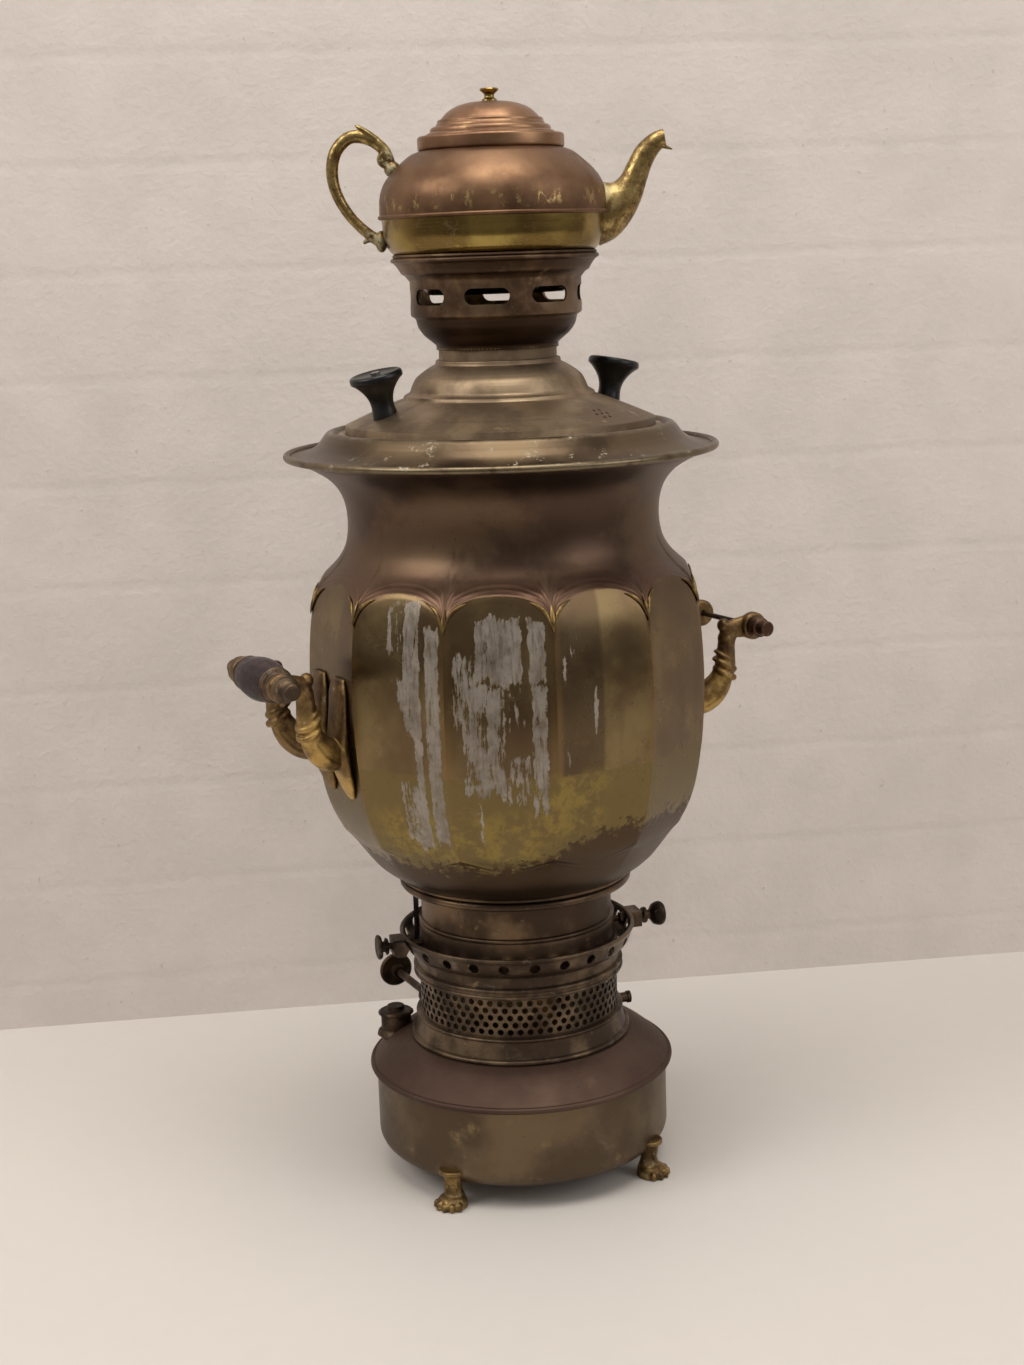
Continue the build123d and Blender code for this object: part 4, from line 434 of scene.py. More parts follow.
def cast(work, name, grain, soften):
    """One skin round forms that run into each other, softened like a casting."""
    made = helper(finish_mesh(work, name + "_forms"))
    join = made.modifiers.new("join", "REMESH")
    join.mode = "VOXEL"
    join.voxel_size = grain * 0.001
    join.use_smooth_shade = True
    ease = made.modifiers.new("ease", "SMOOTH")
    ease.factor = 0.5
    ease.iterations = soften
    mesh = baked(made, name)
    mesh.shade_smooth()
    return mesh


def swept_into(work, path, sizes, facing=(0, 0, 1), steps=20, move=None):
    """Adds a bar through 3-D points; sizes are half widths across the facing way and along it."""
    move = move or Matrix.Identity(4)
    spots_along = [Vector(p) for p in path]
    rings = []
    for index, centre in enumerate(spots_along):
        ahead = spots_along[min(index + 1, len(path) - 1)]
        behind = spots_along[max(index - 1, 0)]
        way = (ahead - behind).normalized()
        across = way.cross(Vector(facing)).normalized()
        out = across.cross(way).normalized()
        wide, thick = sizes[index]
        turns = [2 * pi * k / steps for k in range(steps)]
        rings.append([work.verts.new(move @ (centre + across * wide * cos(a) + out * thick * sin(a)))
                      for a in turns])
    for ring, ahead in zip(rings, rings[1:]):
        for k in range(steps):
            work.faces.new((ring[k], ring[(k + 1) % steps], ahead[(k + 1) % steps], ahead[k]))
    work.faces.new(rings[0][::-1])
    work.faces.new(rings[-1])


def even(path, sizes, steps=6):
    """A path and its sizes, with smooth steps between the given ones."""
    joined = through([tuple(p) + tuple(s) for p, s in zip(path, sizes)], steps)
    count = len(path[0])
    return [p[:count] for p in joined], [p[count:] for p in joined]


def ball_into(work, centre, radii, move=None):
    """Adds an ellipsoid."""
    place_at = (move or Matrix.Identity(4)) @ Matrix.Translation(centre) @ Matrix.Diagonal((*radii, 1))
    bmesh.ops.create_uvsphere(work, u_segments=20, v_segments=12, radius=1.0, matrix=place_at)


def turned_by(angle):
    """A turn about the upright axis, in degrees."""
    return Matrix.Rotation(radians(angle), 4, "Z")


tarnish("cast_brass", (0.095, 0.060, 0.028, 1), (0.24, 0.158, 0.062, 1), (0.38, 0.275, 0.115, 1),
        scale=75.0, share=(0.40, 0.60), rubbed=(0.54, 0.68), rough=(0.36, 0.55), seed=6.0, pits=0.00012,
        lime=0.35)

stove_turn = -12.0
ankle_reach = 88.5
ankle_place = Matrix.Translation((ankle_reach, 0, 0))
paw_place = Matrix.Translation((90.5, 0, 0))
paw = bmesh.new()
foot_head = eased([(0, 24.0), (8.6, 24.0), (8.6, 21.0), (0, 21.0)], 0.9, 4)
ankle_line = through([(7.2, 21.4), (6.2, 19.0), (5.3, 15.5), (5.1, 12.0), (5.8, 9.0), (7.0, 6.0),
                      (7.4, 3.0)], 5)
lathe_into(paw, foot_head, 32, ankle_place)
lathe_into(paw, [(0, 21.6)] + ankle_line + [(7.4, 0.2), (0, 0.2)], 28, ankle_place)
instep = through([(4.6, 8.0), (7.4, 6.6), (9.0, 4.2), (9.3, 1.6)], 4)
lathe_into(paw, [(0, 8.2)] + instep + [(9.3, 0.2), (0, 0.2)], 32, paw_place)
for angle in (-58, -29, 0, 29, 58):
    toe_turn = paw_place @ turned_by(angle)
    ball_into(paw, (8.0, 0, 2.9), (3.3, 2.3, 2.7), toe_turn)
    ball_into(paw, (10.2, 0, 1.5), (1.2, 1.3, 1.3), toe_turn)
for first, rise in ((-40, 0), (40, 0.8), (150, -0.5)):
    crease = []
    for k in range(5):
        a = radians(first + 4 * k)
        crease.append((5.6 * cos(a) + ankle_reach, 5.6 * sin(a), 19.0 + rise - 2.0 * k))
    swept_into(paw, crease, [(0.9, 0.7)] * 5, (1, 0, 0), 8)
paw_mesh = cast(paw, "paw", 0.5, 2)
for number in range(4):
    one = paw_mesh.copy()
    one.transform(turned_by(stove_turn + 45 + 90 * number))
    piece(f"paw_{number + 1}", one, "stove", "cast_brass", [f"paw_foot_{number + 1}"])


# Filler neck and its screw cap on the cone: turned brass, blackened by oil. The cap's grip is knurled.
tarnish("oiled_brown", (0.03, 0.02, 0.014, 1), (0.085, 0.052, 0.032, 1), (0.19, 0.12, 0.06, 1), scale=60.0,
        rough=(0.36, 0.6), seed=8.0, pits=0.0001, lime=0.3, metal=0.9)
filler_place = turned_by(-40.0) @ Matrix.Translation((81.5, 0, 0))
lathed("filler_neck_tube", [eased([(8.0, 72.0), (9.6, 72.0), (9.6, 88.5), (8.0, 88.5)], 0.3),
                            [(9.6, 75.5), (12.4, 75.2), (11.6, 77.6), (9.6, 79.2)]], "stove", "oiled_brown",
       ["filler_neck"], 48, filler_place)
cap_line = eased([(0, 83.5), (7.6, 83.5), (7.6, 88.5), (11, 88.5), (11, 89.7), (10, 90.7), (5.4, 91.3),
                  (5.4, 93.9), (0, 93.9)], 0.4)
ridge_size = Matrix.Diagonal((0.45, 0.5, 0.9, 1))
knurls = bmesh.new()
lathe_into(knurls, cap_line, 48, filler_place)
for k in range(24):
    ridge = filler_place @ turned_by(15 * k) @ Matrix.Translation((10.9, 0, 89.3)) @ ridge_size
    bmesh.ops.create_uvsphere(knurls, u_segments=8, v_segments=6, radius=1.0, matrix=ridge)
piece("filler_cap_turned", finish_mesh(knurls, "filler_cap_turned"), "filler_cap", "oiled_brown",
      ["filler_cap"])


# Burner: a turned collar, the pierced air basket, the band over it and the plates and tubes inside. Sheet
# brass browned by heat. The basket is rolled from sheet punched with five staggered rows of round holes.
def copies_tree():
    """Geometry nodes that set copies of the input in rows round the upright axis."""
    tree = bpy.data.node_groups.new("rows_of_copies", "GeometryNodeTree")
    face = tree.interface
    face.new_socket("Geometry", in_out="INPUT", socket_type="NodeSocketGeometry")
    kinds = {"Count": "Int", "Rows": "Int", "Radius": "Float", "Low": "Float", "Pitch": "Float",
             "Stagger": "Float", "Turn": "Float", "Material": "Material"}
    for label, kind in kinds.items():
        face.new_socket(label, in_out="INPUT", socket_type="NodeSocket" + kind)
    face.new_socket("Geometry", in_out="OUTPUT", socket_type="NodeSocketGeometry")
    given = {socket.name: Wire(tree, socket) for socket in tree.nodes.new("NodeGroupInput").outputs}
    line = add("GeometryNodeMeshLine", Count=given["Count"] * given["Rows"])
    index = add("GeometryNodeInputIndex", tree=tree)
    row = calc("FLOOR", (index + 0.5) / given["Count"])
    column = index - row * given["Count"] + calc("MODULO", row, 2.0) * given["Stagger"]
    angle = column * (2 * pi) / given["Count"] + given["Turn"]
    place_x = given["Radius"] * calc("COSINE", angle)
    place_y = given["Radius"] * calc("SINE", angle)
    place_z = given["Low"] + row * given["Pitch"]
    spot = add("ShaderNodeCombineXYZ", place_x, place_y, place_z)
    placed = add("GeometryNodeSetPosition", Geometry=line, Position=spot)
    facing = add("ShaderNodeCombineXYZ", 0.0, 0.0, angle)
    copies = add("GeometryNodeInstanceOnPoints", Points=placed, Instance=given["Geometry"], Rotation=facing)
    solid = add("GeometryNodeRealizeInstances", copies)
    painted = add("GeometryNodeSetMaterial", Geometry=solid, Material=given["Material"])
    feed(tree.nodes.new("NodeGroupOutput").inputs[0], painted)
    return tree


rows_of_copies = copies_tree()


def copied(work, name, material, **values):
    """The mesh of the copies of one small form; lengths in millimetres, the turn in degrees."""
    made = helper(finish_mesh(work, name + "_one"))
    modifier = made.modifiers.new("rows", "NODES")
    modifier.node_group = rows_of_copies
    settings = {"Count": 1, "Rows": 1, "Radius": 0.0, "Low": 0.0, "Pitch": 0.0, "Stagger": 0.0, "Turn": 0.0}
    settings.update(values)
    for item in rows_of_copies.interface.items_tree:
        if item.in_out != "INPUT" or item.name == "Geometry":
            continue
        if item.name == "Material":
            modifier[item.identifier] = bpy.data.materials[material]
        elif item.name in ("Radius", "Low", "Pitch"):
            modifier[item.identifier] = settings[item.name] * 0.001
        elif item.name == "Turn":
            modifier[item.identifier] = radians(settings[item.name])
        else:
            modifier[item.identifier] = settings[item.name]
    return baked(made, name)


def pierced(mesh, cutter):
    """The mesh with the cutter's forms taken out."""
    made = helper(mesh)
    tool = helper(cutter, "punch")
    cut = made.modifiers.new("cut", "BOOLEAN")
    cut.operation = "DIFFERENCE"
    cut.solver = "EXACT"
    cut.object = tool
    result = baked(made, mesh.name)
    bpy.data.objects.remove(tool)
    result.shade_smooth()
    result.set_sharp_from_angle(angle=radians(38))
    return result


def punch(half_wide, half_high, reach, steps=16):
    """A blank along X whose ends are round, with a straight run between them if it is wider than high."""
    work = bmesh.new()
    run = max(half_wide - half_high, 0.0)
    outline = []
    for k in range(steps):
        a = 2 * pi * (k + 0.5) / steps
        outline.append((half_high * cos(a) + (run if cos(a) > 0 else -run), half_high * sin(a)))
    ends = [[work.verts.new((x, y, z)) for y, z in outline] for x in (-reach, reach)]
    for k in range(steps):
        work.faces.new((ends[0][k], ends[0][(k + 1) % steps], ends[1][(k + 1) % steps], ends[1][k]))
    work.faces.new(ends[0][::-1])
    work.faces.new(ends[1])
    return work


tarnish("burner_brown", (0.055, 0.037, 0.025, 1), (0.150, 0.105, 0.066, 1), (0.26, 0.185, 0.10, 1),
        scale=34.0, rough=(0.34, 0.55), seed=11.0, pits=0.00008, lime=0.3, metal=0.92, spin=0.4)

collar_line = ([(58.0, 84.0), (66.6, 84.0)] + arc((67.6, 85.6), 1.6, -70, 90, 8)
               + [(66.6, 87.6), (66.3, 88.6)] + through([(66.2, 89.0), (65.2, 93.0), (64.7, 96.8)], 5)
               + arc((64.3, 98.3), 0.9, -50, 80, 6) + [(61.6, 99.5), (61.6, 98.1), (58.0, 98.1)])
lathed("burner_collar_turned", [collar_line], "stove", "burner_brown", ["burner_collar"], 160)

basket_work = bmesh.new()
lathe_into(basket_work, [(60.9, 99.5), (61.9, 99.5), (61.9, 124.5), (60.9, 124.5)], 256)
basket_sheet = finish_mesh(basket_work, "basket")
basket_holes = copied(punch(1.9, 1.9, 4.0, 12), "basket_holes", "burner_brown", Count=64, Rows=5,
                      Radius=61.4, Low=103.0, Pitch=4.55, Stagger=0.5, Turn=0.7)
piece("air_basket", pierced(basket_sheet, basket_holes), "stove", "burner_brown", ["burner_basket"])

band_line = ([(61.4, 124.5), (64.2, 124.5)] + arc((64.6, 125.6), 1.1, -80, 80, 6) + [(64.6, 128.0)]
             + arc((64.6, 129.7), 1.1, -80, 80, 6) + [(64.2, 131.1), (63.4, 131.6), (63.4, 138.0),
             (62.9, 138.5), (47.0, 138.5), (47.0, 137.1), (61.4, 137.1)])
lathed("burner_band_turned", [band_line], "stove", "burner_brown", ["burner_band"], 160)

tarnish("inner_brass", (0.06, 0.04, 0.02, 1), (0.22, 0.15, 0.06, 1), (0.34, 0.24, 0.10, 1), scale=40.0,
        rough=(0.34, 0.5), seed=14.0)
tarnish("plain_steel", (0.12, 0.11, 0.10, 1), (0.30, 0.28, 0.26, 1), (0.42, 0.40, 0.37, 1), scale=60.0,
        rough=(0.3, 0.5), seed=15.0)
tarnish("blued_steel", (0.012, 0.011, 0.010, 1), (0.035, 0.032, 0.03, 1), (0.08, 0.07, 0.06, 1), scale=50.0,
        rough=(0.4, 0.6), seed=16.0, metal=0.8)
dress("inner_brass", "aged_brass", "burner_plate", "outer_wick_tube", "inner_air_tube", "spindle_bracket")
dress("oiled_brown", "steel", "wick_spindle")
dress("blued_steel", "black_steel", "gallery_strap")

where = begin("woven_wick")
weave = add("ShaderNodeTexWave", how={"bands_direction": "Z"}, output="Fac", Vector=where, Scale=220.0,
            Distortion=3.0, Detail=2.0)
soot = spots(where, 120.0, 5.0)
wick_colour = blend_colours(fade(soot, 0.4, 0.65), (0.50, 0.44, 0.34, 1), (0.20, 0.15, 0.10, 1))
wick_colour = blend_colours(weave * 0.4, wick_colour, (0.62, 0.56, 0.45, 1))
shade("woven_wick", wick_colour, roughness=0.9, bump=weave, bump_depth=0.0003)
dress("woven_wick", "wick_cotton", "wick")
button = through([(0.02, 156.8), (8.0, 156.5), (14.0, 155.8), (19.6, 154.4), (20.8, 153.2), (19.0, 150.8),
                  (16.2, 149.2)], 5)
button_outline = [(0, 156.8)] + button[1:] + [(0, 149.2)]
stem_outline = [(0, 134.0), (3.0, 134.0), (3.0, 149.4), (0, 149.4)]
lathed("spreader_button", [button_outline, stem_outline], "stove", "blued_steel", ["flame_spreader"],
       96)


# Wick raiser: a steel spindle from the collar's side with its brass gland and disc knob, and a short blind
# stub further round. Small turned parts, brown with the knob's face polished dark.
burner_turn = turned_by(-3.0)
spindle_place = burner_turn @ Matrix.Translation((36.75, 16.0, 91.0)) @ Matrix.Rotation(pi / 2, 4, "X")
gland_start = 67.08
gland_line = [(2.6, gland_start - 6), (5.0, gland_start - 6), (5.0, gland_start + 10),
              (6.3, gland_start + 10.2), (6.3, gland_start + 13.6), (2.6, gland_start + 14)]
lathed("gland_turned", [eased(gland_line, 0.5)], "stove", "oiled_brown", ["spindle_gland"],
       40, spindle_place)
knob_rim = ([(2.5, 127.4), (4.4, 127.4), (4.4, 133.4), (10.4, 134.2)] + arc((10.4, 135.6), 1.0, -60, 60, 5)
            + [(9.2, 136.9), (6.0, 136.2), (4.2, 136.2), (3.2, 137.0), (0, 137.0), (0, 136.0), (2.5, 136.0)])
tooth_size = Matrix.Diagonal((0.5, 0.45, 1.2, 1))
knob_work = bmesh.new()
lathe_into(knob_work, knob_rim, 64, spindle_place)
for k in range(40):
    tooth = spindle_place @ turned_by(9 * k) @ Matrix.Translation((11.0, 0, 135.6)) @ tooth_size
    bmesh.ops.create_uvsphere(knob_work, u_segments=8, v_segments=6, radius=1.0, matrix=tooth)
piece("wick_knob_disc", finish_mesh(knob_work, "wick_knob_disc"), "wick_spindle", "oiled_brown",
      ["wick_knob"])
dress("oiled_brown", "dark_brass", "side_stub")


# Gallery: a spun ring on the burner with a rolled rim and a row of round holes, spring fingers inside it, and
# two soldered clamps whose turned thumb screws grip the urn's sleeve. Brown brass, rubbed along the rim.
gallery_work = bmesh.new()
gallery_round = arc((72.3, 151.5), 1.3, -35, 215, 12)
gallery_outer = through([(72.0, 148.4), (71.2, 145.4), (69.6, 142.2), (67.9, 140.8)], 5)
gallery_outline = ([(73.0, 150.3)] + gallery_outer + [(66.0, 138.6), (64.0, 138.6), (64.0, 139.7),
                   (65.5, 139.7), (66.9, 141.5), (68.6, 143.0), (70.1, 145.6), (70.9, 148.4), (71.1, 150.6)]
                   + gallery_round[::-1])
lathe_into(gallery_work, gallery_outline, 192)
gallery_holes = copied(punch(3.2, 3.2, 7.0, 20), "gallery_holes", "burner_brown", Count=24, Radius=72.0,
                       Low=145.9, Turn=stove_turn + 7.5)
piece("gallery_spun", pierced(finish_mesh(gallery_work, "gallery_spun"), gallery_holes), "stove",
      "burner_brown", ["gallery_ring"])
dress("burner_brown", "dark_brass", "gallery_fingers", "left_clamp_block", "right_clamp_block", "clamp_nut")

screw_level = Matrix.Translation((0, 0, 147))
outward = Matrix.Rotation(pi / 2, 4, "Y")
screw_left = ([(0, 61.6), (2.0, 61.6), (2.0, 83.2), (4.9, 83.2), (5.4, 84.4), (3.4, 85.2), (3.3, 86.9),
               (6.9, 87.5)] + arc((6.7, 88.9), 1.0, -40, 60, 5) + [(6.4, 90.1), (3.0, 89.7), (0, 90.1)])
lathed("left_screw_turned", [screw_left], "left_thumb_screw", "oiled_brown", ["left_thumb_screw"],
       64, turned_by(stove_turn) @ screw_level @ outward)
screw_right = ([(0, 61.6), (2.0, 61.6), (2.0, 83.1), (4.8, 83.1), (5.2, 84.2), (4.9, 85.4), (3.0, 86.0),
                (3.0, 87.8)] + through([(6.4, 90.2), (7.4, 92.6), (7.6, 95.2), (6.2, 97.2), (3.4, 97.9)], 5)
               + [(0, 98.1)])
lathed("right_screw_turned", [screw_right], "right_thumb_screw", "oiled_brown", ["right_thumb_screw"],
       64, turned_by(stove_turn + 180) @ screw_level @ outward)


# Sleeve and moulding ring under the urn: spun brass, the sleeve stained brown in runs, its bead and the
# ring's two rounds rubbed lighter. The flue inside is drawn tube.
tarnish("sleeve_brown", (0.055, 0.036, 0.023, 1), (0.165, 0.108, 0.064, 1), (0.27, 0.18, 0.095, 1),
        scale=20.0, rough=(0.3, 0.46), seed=18.0, pits=0.00006, lime=0.25, metal=0.95, spin=0.5)
sleeve_line = ([(59.3, 190.0), (59.3, 161.0)] + arc((59.6, 159.4), 1.5, 90, -60, 6)
               + [(60.6, 157.2), (61.1, 156.0), (61.1, 138.6)])
lathed("urn_sleeve", [walled(sleeve_line, 1.2)], "urn", "sleeve_brown", ["base_sleeve"], 160)
ring_line = ([(59.4, 181.0), (67.0, 181.0)] + arc((69.4, 184.4), 2.5, -80, 80, 10) + [(69.6, 187.0)]
             + arc((70.2, 188.6), 1.4, -60, 80, 6) + [(69.6, 190.0), (59.4, 190.0)])
lathed("moulding_ring", [ring_line], "urn", "sleeve_brown", ["base_ring"], 160)
dress("inner_brass", "aged_brass", "flue_tube")


# Urn body: a round brass vase pressed with twelve flat panels, arched at the top and scalloped at the foot,
# with raised lines along the arches. It was nickelled, and only ragged grey patches are left.
def level_table(points):
    """A function that gives a turned line's radius at a height."""
    line = sorted(((level, radius) for radius, level in through(points, 12)))
    levels = [level for level, radius in line]
    widths = [radius for level, radius in line]

    def radius_at(level):
        """The line's radius at a height."""
        index = min(max(bisect.bisect_left(levels, level), 1), len(levels) - 1)
        low, high = levels[index - 1], levels[index]
        share = (level - low) / (high - low) if high > low else 0.0
        return widths[index - 1] + (widths[index] - widths[index - 1]) * min(max(share, 0.0), 1.0)

    return radius_at


vase_radius = level_table([(72, 190), (86.4, 200), (99.5, 217), (108.2, 226.5), (118, 245), (122.6, 268),
                           (123.4, 302), (122.4, 330), (120.7, 349), (118.4, 360.5), (115.9, 368.5),
                           (113.3, 373), (109.8, 377.5), (104.5, 382.5), (99.6, 388), (95.4, 396),
                           (93.6, 407), (94.4, 419), (97.8, 428.5), (104, 436), (112.5, 441.6),
                           (119.5, 445.2), (122.5, 448)])
panel_reach = level_table([(88.5, 200), (99.8, 218), (109.3, 239), (115.2, 268), (117.7, 302), (117.2, 333),
                           (114.4, 360.5), (109.8, 377.5), (105.5, 385)])


def crossing(off_middle, low, high):
    """The height between two others where a panel meets the round vase, at an angle from its middle."""
    rising = vase_radius(low) * cos(off_middle) > panel_reach(low)
    for step in range(30):
        middle = (low + high) / 2
        if (vase_radius(middle) * cos(off_middle) > panel_reach(middle)) == rising:
            low = middle
        else:
            high = middle
    return (low + high) / 2


def urn_radius(turn, level):
    """The body's radius in a direction and at a height, and the heights of the arch and the scallop there."""
    off_middle = abs((turn + 15) % 30 - 15)
    lean = radians(off_middle)
    arch = crossing(lean, 350.0, 384.9)
    scallop = crossing(lean, 201.0, 245.0)
    reach = vase_radius(level)
    if scallop < level < arch:
        reach = min(reach, panel_reach(level) / cos(lean))
    return reach, arch, scallop


def melted(first, second, reach):
    """The smaller of two radii, going over softly where they are nearly equal."""
    share = min(max(0.5 + 0.5 * (second - first) / reach, 0.0), 1.0)
    return second + (first - second) * share - reach * share * (1 - share)


def body_levels(arch, scallop):
    """The heights of one column's rows, close together along the arch and the scallop."""
    fine = [0.55 * k for k in range(13)]
    lower = [190 + (scallop - 5.5 - 190) * k / 7 for k in range(7)]
    lower += [scallop - 5.5 + 0.55 * k for k in range(10)]
    low_end, high_start = scallop + fine[-1], arch - fine[-1]
    panel = [scallop + f for f in fine[:-1]]
    panel += [low_end + (high_start - low_end) * k / 26 for k in range(27)]
    panel += [arch - f for f in fine[:-1]][::-1]
    upper = [arch + 0.5 * k for k in range(1, 23)]
    neck_start = upper[-1]
    upper += [neck_start + (448 - neck_start) * k / 34 for k in range(1, 35)]
    return lower + panel + upper


def body_mesh():
    """The urn's body as a closed wall, with its raised lines."""
    work = bmesh.new()
    steps = 360
    columns = []
    wall = 1.3
    arch_lines = ((0.7, 0.55, 0.8), (3.4, 0.42, 0.8), (5.8, 0.22, 0.8))
    scallop_lines = ((-0.8, 0.45, 0.9), (-3.4, 0.3, 0.9))
    over_arch = work.verts.layers.float.new("over_arch")
    shapes = {}
    for off_middle in range(16):
        arch, scallop = urn_radius(off_middle, 300)[1:]
        levels = body_levels(arch, scallop)
        slope = 0.0
        if off_middle:
            slope = (urn_radius(off_middle - 1, 300)[1] - arch) / (radians(1) * 115)
        lean = 1 / hypot(1, slope)
        strength = 0.25 + 0.75 * (off_middle / 15) ** 2
        rows = []
        for level in levels:
            radius = vase_radius(level)
            if level < arch + 6:
                softness = 5.0 if level < 270 else 1.2
                radius = melted(radius, panel_reach(level) / cos(radians(off_middle)), softness)
            for offset, rise, width in arch_lines:
                gap = ((level - arch) * lean - offset) / width
                radius += rise * strength * exp(-gap * gap)
            for offset, rise, width in scallop_lines:
                gap = ((level - scallop) * lean - offset) / width
                radius += rise * strength * exp(-gap * gap)
            rows.append((radius, level))
        inside = [(radius - wall, level) for radius, level in rows[::-4]]
        inside = [(radius, max(level, 192.0)) for radius, level in inside]
        shapes[off_middle] = (arch, [(56.1, 190.0)] + rows + inside + [(70.0, 192.0), (56.1, 192.0)])
    for k in range(steps):
        off_middle = abs((k + 15) % 30 - 15)
        turn = radians(k)
        arch, shape = shapes[off_middle]
        columns.append([work.verts.new((r * cos(turn), r * sin(turn), z)) for r, z in shape])
        for vertex in columns[-1]:
            vertex[over_arch] = vertex.co.z - arch
    for k, column in enumerate(columns):
        ahead = columns[(k + 1) % steps]
        for row in range(len(column)):
            following = (row + 1) % len(column)
            work.faces.new((column[row], ahead[row], ahead[following], column[following]))
    return finish_mesh(work, "urn_body", 24.0)


def between(value, low, high, soft):
    """1 between two values, with soft edges."""
    return fade(value, low - soft, low + soft) * (1.0 - fade(value, high - soft, high + soft))


where = begin("urn_brass")
parts = split(where)
drips = stretched(where, 1, 1, 0.13)
runs = spots(drips, 150.0, 6.0, 0.65, 21.0)
scratches = spots(drips, 520.0, 5.0, 0.7, 28.0)
wide_runs = spots(drips, 42.0, 5.0, 0.6, 22.0)
clouds = spots(where, 16.0, 6.0, 0.6, 23.0)
patches = spots(where, 60.0, 6.0, 0.65, 24.0)
blots = spots(where, 170.0, 6.0, 0.7, 26.0)
grains = spots(where, 620.0, 3.0, 0.6, 25.0)
turn_true = calc("ARCTAN2", parts[1], parts[0]) * 180 / pi
turn_here = turn_true + (blots - 0.5) * 3.0
level_true = parts[2] * 1000.0
level_here = level_true + (runs - 0.5) * 30.0
panel_turn = calc("ABSOLUTE", calc("FLOORED_MODULO", turn_true + 15.0, 30.0) - 15.0)

panel_tone = blend_colours(fade(clouds, 0.38, 0.62), (0.135, 0.091, 0.047, 1), (0.225, 0.165, 0.080, 1))
panel_tone = blend_colours(fade(wide_runs, 0.48, 0.66) * 0.6, panel_tone, (0.120, 0.078, 0.044, 1))
dark_face = between(turn_true, 74.0, 89.5, 0.8)
panel_tone = blend_colours(dark_face * 0.7, panel_tone, (0.085, 0.058, 0.036, 1))
side_strip = fade(panel_turn, 12.7, 14.2) * 0.6
panel_tone = blend_colours(side_strip, panel_tone, (0.20, 0.128, 0.058, 1))

# below this line the panels were wiped: olive, which is also a painted reflection of the bright table, and
# yellow where the tarnish is rubbed off
wiped_and_table_reflection = 1.0 - fade(level_true + patches * 3.0, 275.8, 277.2)
panel_tone = blend_colours(wiped_and_table_reflection * 0.8, panel_tone, (0.165, 0.122, 0.050, 1))
yellow_zone = calc("MAXIMUM", between(turn_here, 70, 90, 4) * between(level_true, 238, 275, 5),
                   between(turn_here, 20, 72, 6) * between(level_true, 218, 252, 7))
yellow_share = fade(blots * 0.55 + patches * 0.45, 0.46, 0.56)
yellow = yellow_zone * yellow_share * 0.55
panel_tone = blend_colours(yellow, panel_tone, (0.30, 0.222, 0.062, 1))
foot_edge = level_true + (blots - 0.5) * -44.0
foot_edge = foot_edge - fade(turn_true, 55.0, 96.0) * 22.0
foot_shade = 1.0 - fade(foot_edge, 213.0, 219.0)
body_tone = blend_colours(foot_shade * 0.9, panel_tone, (0.070, 0.043, 0.027, 1))

over_arch = add("ShaderNodeAttribute", tree=where.tree, how={"attribute_name": "over_arch"}, output="Fac")
neck_shade = fade(over_arch + (blots - 0.5) * 5.0, -0.6, 1.8)
neck_tone = blend_colours(fade(clouds, 0.42, 0.6), (0.075, 0.047, 0.033, 1), (0.135, 0.088, 0.055, 1))
arch_band = 1.0 - fade(over_arch, 4.0, 20.0)
neck_tone = blend_colours(arch_band * 0.55, neck_tone, (0.135, 0.075, 0.052, 1))
# painted shade: the panel tops just under the arches are darkened, dimming the lamps' reflection there
under_arch_painted_shade = fade(over_arch, -18.0, -1.0) * 0.5
body_tone = blend_colours(under_arch_painted_shade, body_tone, (0.085, 0.052, 0.030, 1))
body_tone = blend_colours(neck_shade, body_tone, neck_tone)

ragged = runs * 0.34 + scratches * 0.36 + patches * 0.30
# from turn, to turn, from height, to height, how much nickel is left
nickel_zones = ((31.5, 37.8, 296, 380, 0.57), (38.6, 44.0, 230, 365, 0.56), (34.5, 38.0, 230, 330, 0.57),
                (28.5, 38.0, 228, 272, 0.55), (26.0, 32.0, 340, 378, 0.50), (29.5, 35.0, 308, 336, 0.50),
                (53.0, 66.6, 326, 368, 0.585), (67.6, 73.0, 326, 368, 0.585), (46.8, 54.0, 300, 350, 0.515),
                (49.0, 61.5, 262, 332, 0.53), (68.0, 73.0, 250, 332, 0.55), (61.0, 68.5, 256, 290, 0.535),
                (61.5, 67.0, 286, 330, 0.475), (52.0, 54.5, 226, 264, 0.51), (76.5, 78.5, 324, 348, 0.50),
                (77.5, 79.2, 276, 304, 0.50), (86.0, 88.0, 296, 330, 0.50), (79.0, 84.0, 340, 376, 0.455),
                (-72, -63, 250, 366, 0.54), (-50, -38, 282, 350, 0.51), (163, 172, 244, 350, 0.54),
                (-140, -124, 262, 345, 0.52))
zones = None
for first, last, low, high, left_over in nickel_zones:
    zone = between(turn_here, first, last, 0.9) * between(level_here, low, high, 6.0) * left_over
    zones = zone if zones is None else calc("MAXIMUM", zones, zone)
nickel = fade(zones + ragged - 1.0, -0.012, 0.022)
nickel = nickel * (0.55 + fade(scratches, 0.36, 0.54) * 0.45)
nickel_tone = blend_colours(fade(patches, 0.38, 0.62), (0.200, 0.172, 0.140, 1), (0.315, 0.280, 0.240, 1))
body_tone = blend_colours(nickel, body_tone, nickel_tone)
marks = fade(grains, 0.62, 0.70) * fade(blots, 0.42, 0.6)
body_tone = blend_colours(marks * 0.6, body_tone, (0.035, 0.022, 0.014, 1))
body_polish = add("ShaderNodeMapRange", Value=neck_shade, To_Min=0.24, To_Max=0.38)
body_polish = body_polish + nickel * 0.18 + fade(clouds, 0.4, 0.65) * 0.08 + foot_shade * 0.14
relief = grains * 0.5 + nickel * 0.8
shade("urn_brass", body_tone, 1.0 - nickel * 0.35, body_polish, relief, 0.00004)
piece("urn_body", body_mesh(), "urn", "urn_brass", ["urn_shell"])

